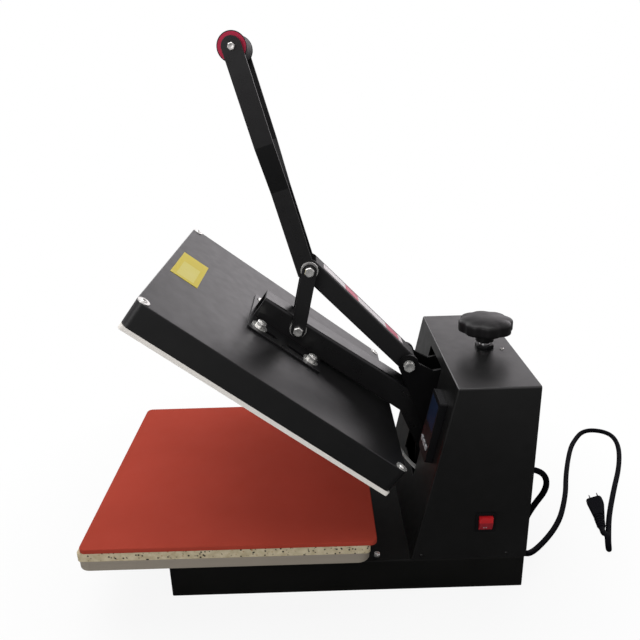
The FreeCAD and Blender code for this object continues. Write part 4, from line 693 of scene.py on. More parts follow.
PAINT = Finish("satin black paint", (0.0044, 0.0044, 0.0044), 0.34, 0.04, 0.5, Grain.PEEL, 620.0, 0.05)
COVER_PAINT = replace(
    PAINT, name="black cover paint", colour=(0.0036, 0.0036, 0.0038),
    roughness=0.37, spread=0.03, depth=0.04,
)
BAR_PAINT = Finish("black bar paint", (0.0048, 0.0048, 0.0052), 0.30, 0.04, 0.5, Grain.PEEL, 520.0, 0.03)
LINK_PAINT = Finish("black link paint", (0.0150, 0.0150, 0.0154), 0.42, 0.04, 0.14, Grain.PEEL, 520.0, 0.03)
PLATE_PAINT = Finish(
    "black plate paint", (0.0036, 0.0036, 0.0038), 0.50, 0.05, 0.12, Grain.PEEL, 520.0, 0.05
)
BASE_PAINT = Finish("black base paint", (0.0056, 0.0056, 0.0052), 0.50, 0.05, 0.08, Grain.PEEL, 620.0, 0.05)
SCREW_PAINT = Finish("painted screws", (0.0040, 0.0040, 0.0042), 0.42, 0.05, 0.3, Grain.MATT, 700.0, 0.03)
SILICONE = Finish("red silicone", (0.322, 0.043, 0.026), 0.80, 0.05, 0.06, Grain.MATT, 1500.0, 0.08, 1.07)
TRAY_METAL = Finish(
    "grey tray paint", (0.265, 0.232, 0.190), 0.50, 0.06, 0.2, Grain.PEEL, 500.0, 0.08, 1.06
)
ALUMINIUM = Finish(
    "milled aluminium", (0.88, 0.84, 0.79), 0.45, 0.07, 0.5, Grain.BRUSHED, 1800.0, 0.02, 1.04, 0.1
)
ZINC = Finish("zinc plate", (0.70, 0.695, 0.67), 0.22, 0.06, 0.5, Grain.MATT, 380.0, 0.20, 1.12, 0.74)
STEEL = Finish("bright steel", (0.56, 0.56, 0.56), 0.24, 0.06, 0.5, Grain.BRUSHED, 1500.0, 0.01, 1.1, 1.0)
KNOB_PLASTIC = Finish(
    "moulded black plastic", (0.0060, 0.0056, 0.0060), 0.42, 0.05, 0.22, Grain.MATT, 1100.0, 0.05
)
CASE_PLASTIC = Finish("black casing", (0.0045, 0.0046, 0.0052), 0.44, 0.05, 0.2, Grain.MATT, 1400.0, 0.04)
RUBBER = Finish("cord jacket", (0.0032, 0.0032, 0.0048), 0.60, 0.06, 0.02, Grain.MATT, 1600.0, 0.03)
SLEEVE_RUBBER = Finish("grip rubber", (0.010, 0.011, 0.012), 0.58, 0.06, 0.2, Grain.MATT, 1300.0, 0.1)
DISPLAY = Finish("display window", (0.009, 0.015, 0.034), 0.40, 0.03, 0.05, Grain.MATT, 800.0, 0.01)
KEY_GREY = Finish("key rubber", (0.30, 0.30, 0.31), 0.48, 0.05, 0.3, Grain.MATT, 1200.0, 0.04, 1.1)
BLANKET = Finish("fibre blanket", (0.78, 0.76, 0.70), 0.90, 0.05, 0.1, Grain.FIBRE, 420.0, 0.6, 1.1)
LEAD_SLEEVE = Finish(
    "woven lead sleeve", (0.42, 0.42, 0.41), 0.62, 0.06, 0.3, Grain.FIBRE, 1500.0, 0.1, 1.15
)
WIRE_WHITE = Finish("wire insulation", (0.62, 0.61, 0.58), 0.40, 0.05, 0.5, Grain.MATT, 900.0, 0.03, 1.1)
BLADE = Finish("plated blades", (0.20, 0.20, 0.21), 0.36, 0.06, 0.5, Grain.MATT, 900.0, 0.01, 1.1, 0.9)
FEET_RUBBER = Finish("foot rubber", (0.010, 0.010, 0.010), 0.70, 0.05, 0.15, Grain.MATT, 700.0, 0.1)


def paint(obj: Object, finish: Surface) -> Object:
    """Gives an object one finish.

    Args:
        obj: the object.
        finish: the finish.

    Returns:
        The same object.
    """
    obj.data.materials.clear()
    obj.data.materials.append(material_of(finish))
    return obj


@dataclass(frozen=True)
class BoltKind:
    """Sizes of a hexagon bolt or nut, in millimetres."""

    across: float
    high: float
    thread: float
    below: float = 8.0
    above: float = 0.0


@dataclass(frozen=True)
class ScrewKind:
    """Sizes of a domed screw, in millimetres."""

    head: float
    high: float
    recess: float
    flange: float
    flange_high: float
    shank: float = 1.9
    long: float = 4.0


M8_BOLT = BoltKind(12.0, 5.3, 4.0)
M5_BOLT = BoltKind(8.0, 3.5, 2.5, 5.0)
PIVOT_BOLT = BoltKind(14.0, 6.4, 5.0)
STUD_NUT = BoltKind(12.0, 6.5, 4.0, 4.0, 7.6)
HOUSING_SCREW = ScrewKind(2.6, 1.75, 2.73, 2.8, 0.4)
COVER_SCREW = ScrewKind(4.4, 2.7, 4.62, 7.5, 1.0)


class GeometryTree(Nodes):
    """A geometry node tree under construction, with its material and its sizes as inputs."""

    sharp: float = 50.0

    def __init__(self, name: str, sizes: Sequence[str], vectors: Sequence[str] = ()) -> None:
        """Starts a tree.

        Args:
            name: the tree's name.
            sizes: the names of its sizes.
            vectors: the names of its inputs that are vectors.
        """
        super().__init__(bpy.data.node_groups.new(name, "GeometryNodeTree"))
        face = self.tree.interface
        self.keys: dict[str, str] = {}
        kinds = {"Geometry": "Geometry"} | dict.fromkeys(sizes, "Float")
        kinds |= dict.fromkeys(vectors, "Vector") | {"Material": "Material"}
        for title, kind in kinds.items():
            socket = face.new_socket(title, in_out="INPUT", socket_type="NodeSocket" + kind)
            self.keys[title] = socket.identifier
        face.new_socket("Geometry", in_out="OUTPUT", socket_type="NodeSocketGeometry")
        self.start = self.add("NodeGroupInput").outputs
        self.sizes = [self.start[title] for title in sizes]

    def named(self, title: str, kind: str) -> Socket:
        """An attribute of the points, by its name."""
        return self.add("GeometryNodeInputNamedAttribute", {"Name": title}, data_type=kind).outputs[0]

    def lifted(self, node: Node, rise: Socket | float) -> Socket:
        """A node's geometry moved up its own Z."""
        inputs = {"Geometry": node.outputs[0], "Translation": self.vector(0.0, 0.0, rise)}
        return self.add("GeometryNodeTransform", inputs).outputs[0]

    def cylinder(self, sides: int, radius: Socket | float, depth: Socket | float) -> Node:
        """A cylinder about the middle."""
        inputs = {"Vertices": sides, "Radius": radius, "Depth": depth}
        return self.add("GeometryNodeMeshCylinder", inputs)

    def pushed(
        self, node: Node, faces: Socket, far: Socket | float, share: float
    ) -> tuple[Node, Socket]:
        """Faces pushed outwards and then shrunk.

        Args:
            node: the node that makes the mesh.
            faces: which of its faces are pushed.
            far: how far they go.
            share: their size after it, as a share of what it was.

        Returns:
            The last node and the faces at the end of the push.
        """
        inputs = {"Mesh": node.outputs[0], "Selection": faces, "Offset Scale": far}
        push = self.add("GeometryNodeExtrudeMesh", inputs, mode="FACES")
        top = push.outputs["Top"]
        inputs = {"Geometry": push.outputs[0], "Selection": top, "Scale": share}
        return self.add("GeometryNodeScaleElements", inputs), top

    def finish(self, geometry: Socket) -> None:
        """Ends the tree with real geometry that carries its material.

        Args:
            geometry: what the tree has made.
        """
        real = self.add("GeometryNodeRealizeInstances", {"Geometry": geometry})
        inputs = {"Geometry": real.outputs[0], "Material": self.start["Material"]}
        self.add("NodeGroupOutput", {0: self.add("GeometryNodeSetMaterial", inputs).outputs[0]})

    def finish_on_points(self, *parts: Socket) -> None:
        """Ends the tree with its parts joined, stood on each point's axis and spun there.

        Args:
            *parts: the parts of one piece.
        """
        whole = self.add("GeometryNodeJoinGeometry")
        for part in parts:
            self.feed(whole, {0: part})
        axis = self.named("axis", "FLOAT_VECTOR")
        stand = self.add("FunctionNodeAlignRotationToVector", {"Vector": axis}, axis="Z")
        inputs = {"Axis": (0, 0, 1), "Angle": self.named("spin", "FLOAT")}
        spin = self.add("FunctionNodeAxisAngleToRotation", inputs)
        inputs = {0: stand.outputs[0], 1: spin.outputs[0]}
        turn = self.add("FunctionNodeRotateRotation", inputs, rotation_space="LOCAL").outputs[0]
        inputs = {"Points": self.start[0], "Instance": whole.outputs[0], "Rotation": turn}
        self.finish(self.add("GeometryNodeInstanceOnPoints", inputs).outputs[0])

    def run(self, obj: Object, finish: Surface, sizes: dict[str, object]) -> Object:
        """Runs the tree on an object and keeps the result as a plain mesh.

        Args:
            obj: the object that the tree starts from.
            finish: the finish of what it makes.
            sizes: a value for each of its inputs.

        Returns:
            The same object with its new mesh.
        """
        modifier = obj.modifiers.new(self.tree.name, "NODES")
        modifier.node_group = self.tree
        for title, value in {**sizes, "Material": material_of(finish)}.items():
            modifier[self.keys[title]] = value
        return settle(obj, self.sharp)


class HexFasteners(GeometryTree):
    """Hexagon heads or nuts with turned chamfers, each on a short thin neck over its thread."""

    sharp: float = 30.0
    chamfer_share: float = 0.16
    crown_share: float = 0.87
    disc_share: float = 0.80
    rim_share: float = 0.74
    dish_share: float = 0.55
    crest_share: float = 0.05
    sides: int = 24
    neck_sides: int = 40
    neck: float = 0.2 * MM
    neck_high: float = 0.02 * MM

    def __init__(self) -> None:
        """Builds the tree."""
        super().__init__("hex fasteners", [f.name for f in fields(BoltKind)])
        across, high, radius, below, above = self.sizes
        corner = self.math("DIVIDE", across, math.sqrt(3))
        chamfer = self.math("MULTIPLY", high, self.chamfer_share)
        body = self.math("SUBTRACT", high, chamfer)
        head = self.cylinder(6, corner, body)
        crown, _ = self.pushed(head, head.outputs["Top"], chamfer, self.crown_share)
        disc = self.cylinder(self.sides, self.math("MULTIPLY", corner, self.disc_share), chamfer)
        rim, top = self.pushed(disc, disc.outputs["Top"], 0.0, self.rim_share)
        dish, _ = self.pushed(rim, top, self.math("MULTIPLY", chamfer, -0.5), self.dish_share)
        crest = self.math("MULTIPLY_ADD", chamfer, self.crest_share, high)
        thread = self.cylinder(self.sides, radius, self.math("ADD", below, above))
        neck = self.cylinder(self.neck_sides, self.neck, self.neck_high)
        self.finish_on_points(
            self.lifted(crown, self.math("MULTIPLY_ADD", body, 0.5, self.neck_high)),
            self.lifted(dish, self.math("ADD", self.neck_high, crest)),
            self.lifted(neck, self.neck_high / 2),
            self.lifted(thread, self.math("MULTIPLY", self.math("SUBTRACT", above, below), 0.5)),
        )


class DomeScrews(GeometryTree):
    """Small screws with a domed head on a thin flange and a crossed recess."""

    arm_share: float = 0.32
    deep_share: float = 0.9
    dome_sides: int = 28
    flange_sides: int = 32
    shank_sides: int = 16

    def __init__(self) -> None:
        """Builds the tree."""
        super().__init__("dome screws", [f.name for f in fields(ScrewKind)])
        radius, high, recess, wide, flange_high, thin, long = self.sizes
        inputs = {"Segments": self.dome_sides, "Rings": self.dome_sides // 2, "Radius": 1.0}
        ball = self.add("GeometryNodeMeshUVSphere", inputs)
        inputs = {"Geometry": ball.outputs[0], "Scale": self.vector(radius, radius, high)}
        dome = self.add("GeometryNodeTransform", inputs).outputs[0]
        arm = self.math("MULTIPLY", recess, self.arm_share)
        deep = self.math("MULTIPLY", high, self.deep_share)
        carved = self.add("GeometryNodeMeshBoolean", {"Mesh 1": dome}, operation="DIFFERENCE")
        for across, along in ((recess, arm), (arm, recess)):
            bar = self.add("GeometryNodeMeshCube", {"Size": self.vector(across, along, deep)})
            self.feed(carved, {"Mesh 2": self.lifted(bar, high)})
        flange = self.cylinder(self.flange_sides, wide, flange_high)
        shank = self.cylinder(self.shank_sides, thin, long)
        self.finish_on_points(
            carved.outputs[0],
            self.lifted(flange, self.math("MULTIPLY", flange_high, 0.5)),
            self.lifted(shank, self.math("MULTIPLY", long, -0.5)),
        )


class LobedKnob(GeometryTree):
    """A turned knob with hollows for the fingers round its rim."""

    around: int = 192
    lobes: float = 8.0
    deep: float = 2.9
    sharpness: float = 1.7

    def __init__(self) -> None:
        """Builds the tree that presses the hollows into a turned shape."""
        super().__init__("lobed knob", ["lobes", "deep", "sharpness"], ["centre"])
        lobes, deep, sharpness = self.sizes
        inputs = {0: self.add("GeometryNodeInputPosition").outputs[0], 1: self.start["centre"]}
        reach = self.add("ShaderNodeVectorMath", inputs, operation="SUBTRACT")
        x, y, _ = self.parts(reach.outputs[0])
        wave = self.math("COSINE", self.math("MULTIPLY", self.math("ARCTAN2", y, x), lobes))
        hollow = self.math("POWER", self.math("MULTIPLY_ADD", wave, -0.5, 0.5), sharpness)
        pressed = self.math("MULTIPLY", hollow, self.named("grip", "FLOAT"))
        back = self.math("MULTIPLY", self.math("MULTIPLY", pressed, deep), -1.0)
        way = self.add("ShaderNodeVectorMath", {0: self.vector(x, y, 0.0)}, operation="NORMALIZE")
        inputs = {0: way.outputs[0], "Scale": back}
        inward = self.add("ShaderNodeVectorMath", inputs, operation="SCALE").outputs[0]
        moved = self.add("GeometryNodeSetPosition", {"Geometry": self.start[0], "Offset": inward})
        self.finish(moved.outputs[0])

    def make(self, name: str, profile: Sequence[Point], centre: Point, finish: Surface) -> Object:
        """A knob from its profile.

        Args:
            name: the piece's name.
            profile: radius, height and grip (0 to 1) of each ring, in millimetres.
            centre: the knob's axis, in millimetres.
            finish: its finish.

        Returns:
            The knob, with the grip of the nearest ring at each point.
        """
        outlines = [circle(centre[0], centre[1], radius, self.around) for radius, _, _ in profile]
        knob = lofted(name, [[(*p, z) for p in line] for line, (_, z, _) in zip(outlines, profile)])
        grips: list[float] = []
        for vertex in knob.data.vertices:
            x, y, z = vertex.co / MM
            far = math.hypot(x - centre[0], y - centre[1])
            grips.append(min(profile, key=lambda ring: abs(ring[0] - far) + abs(ring[1] - z))[2])
        knob.data.attributes.new("grip", "FLOAT", "POINT").data.foreach_set("value", grips)
        sizes = {"lobes": self.lobes, "deep": self.deep * MM, "sharpness": self.sharpness}
        return self.run(knob, finish, {**sizes, "centre": metres(centre)})


@dataclass(frozen=True)
class Spot:
    """Where a fastener stands: its seat, the way its head points, its turn and its width."""

    seat: Vector
    axis: Vector
    spin: float
    wide: float


def loose_solids(node: str) -> list[list[Vector]]:
    """The points of each separate solid of a node.

    Args:
        node: the node's name.

    Returns:
        A list of points for each solid, in metres.
    """
    work = bmesh.new()
    work.from_mesh(NODES[node].data)
    bmesh.ops.remove_doubles(work, verts=work.verts, dist=WELD)
    seen: set[int] = set()
    groups: list[list[Vector]] = []
    for start in work.verts:
        stack, group = [start], []
        while stack:
            vertex = stack.pop()
            if vertex.index not in seen:
                seen.add(vertex.index)
                group.append(vertex.co.copy())
                stack += [edge.other_vert(vertex) for edge in vertex.link_edges]
        if group:
            groups.append(group)
    work.free()
    return groups


def outwards(middle: Vector) -> Vector:
    """The way out to the side from a point."""
    return Vector((math.copysign(1.0, middle.x), 0, 0))


def solid_spots(
    node: str, axis: Vector | Callable[[Vector], Vector], back: float = 0.0
) -> list[Spot]:
    """Where the separate fasteners of a node stand.

    Args:
        node: a node of several separate solids.
        axis: the way that their heads point, or a function of their place.
        back: distance in millimetres from a solid's outer end back to its seat.

    Returns:
        One spot for each solid, each turned a little farther than the last.
    """
    first_turn, next_turn = 0.4, 0.37
    found: list[Spot] = []
    for i, group in enumerate(loose_solids(node)):
        way = axis if isinstance(axis, Vector) else axis(sum(group, Vector()) / len(group))
        side = way.orthogonal().normalized()
        place, wide = Vector(), 0.0
        for other in (side, way.cross(side)):
            reach = [p.dot(other) for p in group]
            place += other * (max(reach) + min(reach)) / 2
            wide = max(wide, max(reach) - min(reach))
        place += way * (max(p.dot(way) for p in group) - back * MM)
        found.append(Spot(place, way, first_turn + next_turn * i, wide))
    return found


@dataclass
class Toolbox:
    """The node trees that the sub-assemblies share."""

    hexes: HexFasteners = field(default_factory=HexFasteners)
    domes: DomeScrews = field(default_factory=DomeScrews)
    knob: LobedKnob = field(default_factory=LobedKnob)


@dataclass
class Assembly:
    """Pieces of the press that belong together."""

    tools: Toolbox
    made: list[str] = field(default_factory=list)

    def keep(
        self,
        obj: Object,
        body: Body,
        slot: str,
        finish: Surface | None = None,
        stands_for: str = "",
    ) -> None:
        """Finishes a piece, puts it on its body and notes it.

        Args:
            obj: the piece.
            body: the body that it moves with.
            slot: a slot name for its finish; not used.
            finish: its finish, where it has none yet.
            stands_for: the solid that it is shown in place of.
        """
        if finish is not None:
            paint(obj, finish)
        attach(obj, body.value)
        if stands_for:
            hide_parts(stands_for)
        self.made.append(obj.name)

    def soften(
        self, node: str, slot: str, finish: Surface, width: float, body: Body = Body.FRAME
    ) -> None:
        """Shows a solid with its edges rounded by a width in millimetres."""
        self.keep(softened(node, width), body, slot, finish, node)

    def dress(self, finish: Surface, *nodes: str) -> None:
        """Gives solids that are shown as they are a finish.

        Args:
            finish: the finish.
            *nodes: the solids' names.
        """
        for node in nodes:
            paint(NODES[node], finish)
            self.made.append(node)

    def fasten(
        self,
        name: str,
        node: str,
        spots: Sequence[Spot],
        kind: BoltKind | ScrewKind,
        body: Body = Body.FRAME,
        finish: Surface = ZINC,
        slot: str = "zinc_steel",
    ) -> None:
        """Shows fasteners with real heads and threads, as one piece.

        Args:
            name: the piece's name.
            node: the solids that it stands for, or nothing.
            spots: where each fastener stands.
            kind: their sizes.
            body: the body that they move with.
            finish: their finish.
            slot: a slot name for it, handed on to keep; not used.
        """
        tree = self.tools.hexes if isinstance(kind, BoltKind) else self.tools.domes
        mesh = bpy.data.meshes.new(name)
        mesh.from_pydata([s.seat for s in spots], [], [])
        axes = mesh.attributes.new("axis", "FLOAT_VECTOR", "POINT")
        axes.data.foreach_set("vector", [c for s in spots for c in s.axis])
        spins = mesh.attributes.new("spin", "FLOAT", "POINT")
        spins.data.foreach_set("value", [s.spin for s in spots])
        sizes = {title: value * MM for title, value in asdict(kind).items()}
        piece = tree.run(added(name, mesh), finish, sizes)
        self.keep(piece, body, slot, stands_for=node)


@dataclass
class BaseAndTable(Assembly):
    """Base, pedestal, tray, pressing board and mat."""

    large_from: float = 11.0

    def build(self) -> None:
        """Makes and dresses the pieces."""
        self.dress(BASE_PAINT, "base_channel", "base_bottom_plate")
        self.dress(FEET_RUBBER, "base_feet")
        self.soften("platen_pedestal", "black_paint", PAINT, width=0.5)
        self.soften("lower_tray", "tray_grey", TRAY_METAL, width=0.7)
        self.soften("pressing_board", "board_beige", SpeckledBoard(), width=0.5)
        self.soften("silicone_mat", "mat_red", SILICONE, width=0.5)
        self.add_bolts()

    def add_bolts(self) -> None:
        """The bolts of the table and of the side plates, and those along the edges of the base."""
        spots = solid_spots("base_bolts", UP)
        for name, large, kind in (("table_bolts", True, M8_BOLT), ("edge_bolts", False, M5_BOLT)):
            seated = [
                replace(s, seat=s.seat - UP * kind.high * MM)
                for s in spots if (s.wide > self.large_from * MM) is large
            ]
            self.fasten(name, "base_bolts", seated, kind)


@dataclass
class Housing(Assembly):
    """Rear housing with its cover, the frame of the linkage inside it and the electrics."""

    screw_high: float = 1.8
    top: float = 300.0
    rear: float = 292.0

    def build(self) -> None:
        """Makes and dresses the pieces."""
        self.soften("housing_shell", "black_paint", PAINT, width=0.35)
        self.soften("housing_rear_cover", "black_paint", PAINT, width=0.4)
        self.soften("linkage_side_plates", "black_paint", PLATE_PAINT, width=0.5)
        self.dress(STEEL, "hinge_shaft", "frame_cross_ties")
        self.dress(ZINC, "upper_pivot_nut", "screw_carrier")
        self.dress(CASE_PLASTIC, "relay_block")
        self.dress(WIRE_WHITE, "internal_wiring")
        self.add_screws()

    def add_screws(self) -> None:
        """A bright screw on the top, and painted ones low on the sides and on the rear cover."""
        node = "housing_screws"
        solids = solid_spots(node, self.screw_way, self.screw_high)
        upright = [s for s in solids if s.axis.z > 0.5]
        others = [s for s in solids if s.axis.z <= 0.5]
        self.fasten("top_screw", node, upright, HOUSING_SCREW)
        self.fasten(
            "housing_screws_painted", node, others, HOUSING_SCREW, finish=SCREW_PAINT, slot="black_paint"
        )

    def screw_way(self, middle: Vector) -> Vector:
        """The way out of the housing from a screw's place.

        Args:
            middle: the screw's middle.

        Returns:
            The way out, one long.
        """
        if middle.y > self.rear * MM:
            return Vector((0, 1, 0))
        return UP if middle.z > self.top * MM else outwards(middle)


@dataclass
class HeatedPlaten(Assembly):
    """Heating plate, cover, arm and the pieces bolted to them."""

    cover_screw_high: float = 2.8

    def build(self) -> None:
        """Makes and dresses the pieces."""
        body = Body.PLATEN
        self.soften("upper_cover", "black_paint", COVER_PAINT, width=0.3, body=body)
        self.soften("heating_plate", "plate_aluminium", ALUMINIUM, width=0.5, body=body)
        self.soften("press_arm", "black_paint", BAR_PAINT, width=0.5, body=body)
        self.soften("arm_base_plate", "black_paint", BAR_PAINT, width=0.4, body=body)
        self.dress(BLANKET, "insulation_blanket")
        self.dress(STEEL, "heating_element", "temperature_probe")
        self.dress(ZINC, "platen_studs")
        self.soften("platen_washers", "zinc_steel", ZINC, width=0.3, body=body)
        self.soften("arm_pivot_collars", "zinc_steel", ZINC, width=0.6, body=body)
        self.dress(BlankPlaque(), "blank_plaque")
        out = (PLATEN_FRAME.to_3x3() @ UP).normalized()
        for name, node, way, back, kind in (
            ("stud_nuts", "platen_nuts", out, STUD_NUT.high, STUD_NUT),
            ("arm_pivot_heads", "arm_pivot_bolts", outwards, M8_BOLT.high, M8_BOLT),
            ("cover_corner_screws", "cover_screws", out, self.cover_screw_high, COVER_SCREW),
        ):
            self.fasten(name, node, solid_spots(node, way, back), kind, body)


@dataclass
class Linkage(Assembly):
    """Legs, link, handle bars and grip."""

    bar_rounding: float = 0.7
    bar_least: float = 9.0
    strip_half: float = 11.5
    strip_ends: tuple[float, float] = (24.0, 182.0)
    strip_faces: tuple[float, float] = (13.5, 13.75)

    def build(self) -> None:
        """Makes and dresses the pieces."""
        self.soften("toggle_legs", "black_paint", BAR_PAINT, width=0.6, body=Body.LEGS)
        self.soften("leg_washers", "zinc_steel", ZINC, width=0.4, body=Body.LEGS)
        self.soften("lever_channel", "black_paint", LINK_PAINT, width=0.6, body=Body.LEVER)
        bars = softened("handle_bars", self.bar_rounding, least=self.bar_least)
        self.keep(bars, Body.LEVER, "black_paint", BAR_PAINT, "handle_bars")
        self.dress(STEEL, "lever_bush", "lever_pin", "grip_rod")
        self.soften("grip_sleeve", "grip_rubber", SLEEVE_RUBBER, width=0.6, body=Body.LEVER)
        self.soften("grip_discs", "red_plastic", RingedDisc(), width=0.5, body=Body.LEVER)
        self.add_bolts()
        self.add_strip()

    def add_bolts(self) -> None:
        """The bolts of the pivots and of the grip."""
        for node, name, body, kind in (
            ("leg_end_bolts", "leg_bolt_heads", Body.LEGS, M8_BOLT),
            ("grip_bolts", "grip_bolt_heads", Body.LEVER, M5_BOLT),
        ):
            self.fasten(name, node, solid_spots(node, outwards, kind.high), kind, body)
        head = solid_spots("upper_pivot_bolt", Vector((1, 0, 0)), PIVOT_BOLT.high)
        self.fasten("upper_pivot_head", "", head, PIVOT_BOLT)
        self.dress(ZINC, "upper_pivot_bolt")

    def add_strip(self) -> None:
        """The pale strip with two red bands on the web of the link."""
        half, (seat, crest) = self.strip_half, self.strip_faces
        rings = [
            [(-half, seat, z), (half, seat, z), (half, crest, z), (-half, crest, z)]
            for z in self.strip_ends
        ]
        strip = settle(lofted("link_strip", rings, LEVER_FRAME))
        self.keep(strip, Body.LEVER, "key_grey", BandedStrip())


@dataclass
class PressureScrew(Assembly):
    """Knob, screw, lock nut and pressure block. A ring is a radius, a height and a grip."""

    axis: Point = (0.0, 259.55, 0.0)
    rings: Sequence[Point] = (
        (8.3, 319.1, 0.0), (12.2, 319.1, 0.0), (12.9, 319.8, 0.0), (13.0, 321.2, 0.0),
        (13.0, 327.0, 0.0), (13.5, 330.5, 0.0), (15.0, 333.4, 0.0), (18.5, 335.0, 0.0),
        (26.0, 335.1, 0.15), (34.0, 335.1, 0.7), (36.9, 335.4, 1.0), (38.1, 336.5, 1.0),
        (38.4, 338.0, 1.0), (38.4, 341.0, 1.0), (38.4, 345.0, 1.0), (38.4, 348.0, 1.0),
        (37.9, 349.8, 1.0), (36.5, 351.2, 0.95), (34.0, 352.4, 0.8), (30.0, 353.5, 0.5),
        (24.0, 354.6, 0.15), (16.0, 355.5, 0.0), (8.0, 355.9, 0.0), (0.02, 356.0, 0.0),
    )

    def build(self) -> None:
        """Makes and dresses the pieces."""
        knob = self.tools.knob.make("knob_moulding", self.rings, self.axis, KNOB_PLASTIC)
        self.keep(knob, Body.KNOB, "black_plastic", stands_for="pressure_knob")
        self.dress(STEEL, "pressure_screw", "pressure_block")
        self.soften("screw_lock_ring", "black_plastic", CASE_PLASTIC, width=0.4)


@dataclass
class Controls(Assembly):
    """Controller, its keys and the power switch."""

    rocker_marks: Stops = ((236.1, 104.0), (239.3, 104.0))
    mark_round: float = 0.85
    mark_sides: int = 16
    mark_faces: tuple[float, float] = (139.6, 140.75)

    def build(self) -> None:
        """Makes and dresses the pieces."""
        self.soften("controller_case", "black_plastic", CASE_PLASTIC, width=0.5)
        self.dress(DISPLAY, "display_window")
        for i, body in enumerate((Body.KEY_LEFT, Body.KEY_MIDDLE, Body.KEY_RIGHT)):
            self.soften("controller_key_%d" % (i + 1), "key_grey", KEY_GREY, width=0.3, body=body)
        self.soften("switch_bezel", "gloss_black", CASE_PLASTIC, width=0.5)
        self.soften("power_rocker", "red_plastic", RockerWithPaintedLight(), width=0.5, body=Body.ROCKER)
        self.add_marks()

    def add_marks(self) -> None:
        """Two plain pale dots on the lower half of the rocker."""
        for i, (y, z) in enumerate(self.rocker_marks):
            rim = circle(y, z, self.mark_round, self.mark_sides)
            rings = [[(x, *place) for place in rim] for x in self.mark_faces]
            mark = settle(lofted("rocker_mark_%d" % i, rings))
            self.keep(mark, Body.ROCKER, "key_grey", KEY_GREY)


@dataclass
class SoftLine(Assembly):
    """A lead that follows a smooth spline."""

    radius: float = 1.6
    length: float = 137.5

    def spline(self, name: str, route: Sequence[Point], radius: float) -> Object:
        """A route as a smooth spline.

        Args:
            name: the object's name.
            route: its control points, in millimetres.
            radius: radius of the lead in millimetres, or 0 for the bare line.

        Returns:
            A curve object.
        """
        curve = bpy.data.curves.new(name, "CURVE")
        curve.dimensions = "3D"
        curve.resolution_u = 10
        curve.bevel_depth = radius * MM
        curve.bevel_resolution = 5
        curve.use_fill_caps = radius > 0
        line = curve.splines.new("NURBS")
        line.points.add(len(route) - 1)
        for point, place in zip(line.points, route):
            point.co = (*metres(place), 1.0)
        line.order_u = 3
        line.use_endpoint_u = True
        return added(name, curve)

    def swept(self, name: str, route: Sequence[Point], radius: float) -> Mesh:
        """The mesh of a route's spline.

        Args:
            name: the mesh's name.
            route: its control points, in millimetres.
            radius: radius of the lead in millimetres, or 0 for the bare line.

        Returns:
            The mesh.
        """
        line = self.spline(name, route, radius)
        mesh = evaluated_mesh(line)
        bpy.data.objects.remove(line)
        return mesh


@dataclass
class MainsLead(SoftLine):
    """Mains cord with its gland at the housing, and its plug."""

    radius: float = 4.25
    length: float = 1108.6
    route: Sequence[Point] = (
        (84.0, 303.35, 156.3), (84.0, 328.35, 156.3), (79.5, 343.35, 124.0), (75.1, 321.85, 83.1),
        (86.0, 306.15, 57.4), (93.9, 311.75, 4.3), (18.8, 389.25, 4.3), (-62.2, 431.75, 4.3),
        (-124.0, 454.85, 4.3), (-192.7, 486.05, 4.3), (-234.6, 509.35, 4.3), (-283.1, 549.85, 4.3),
        (-270.0, 594.35, 4.3), (-224.2, 594.35, 4.3), (-149.6, 562.45, 4.3), (-75.6, 519.25, 4.3),
        (-6.0, 480.85, 4.3), (38.0, 461.0, 4.3), (57.5, 452.6, 4.3), (72.8, 446.9, 4.3),
        (79.0, 442.65, 11.6), (76.7, 441.55, 21.2), (68.2, 444.25, 25.3), (55.4, 447.2, 19.5),
        (43.95, 449.38, 11.63), (31.83, 452.44, 11.63),
    )

    def build(self) -> None:
        """Makes the cord and its plug."""
        cord = self.spline("mains_cord_jacket", self.route, self.radius)
        self.keep(cord, Body.FRAME, "black_rubber", RUBBER, "mains_cord")
        plug = softened("mains_plug", width=0.7, segments=3)
        self.keep(plug, Body.FRAME, "black_rubber", RUBBER, "mains_plug")
        blades = softened("plug_blades", width=0.3)
        self.keep(blades, Body.FRAME, "blade_brass", BLADE, "plug_blades")
        self.dress(CASE_PLASTIC, "cord_gland")


@dataclass
class HeaterLeads(SoftLine):
    """The two sleeved leads from the platen into the housing."""

    sides: Sequence[float] = (32.0, 40.0)
    course: Sequence[Point] = (
        (0.0, 109.71, 205.98), (0.0, 124.78, 194.40), (0.0, 137.71, 159.98),
        (1.0, 159.71, 132.98), (3.0, 181.71, 115.98), (5.0, 195.71, 101.98),
    )

    def build(self) -> None:
        """Makes the leads, each in one fixed shape."""
        for i, side in enumerate(self.sides):
            route = [(side + x, y, z) for x, y, z in self.course]
            path = [tuple(v.co) for v in self.swept("lead_line_%d" % i, route, 0.0).vertices]
            name = "heater_lead_%d" % i
            mesh = self.swept(name, route, self.radius)
            mesh.shade_smooth()
            lead = paint(added(name, mesh), LEAD_SLEEVE)
            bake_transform(lead)
            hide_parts("heater_leads")
            self.made.append(lead.name)


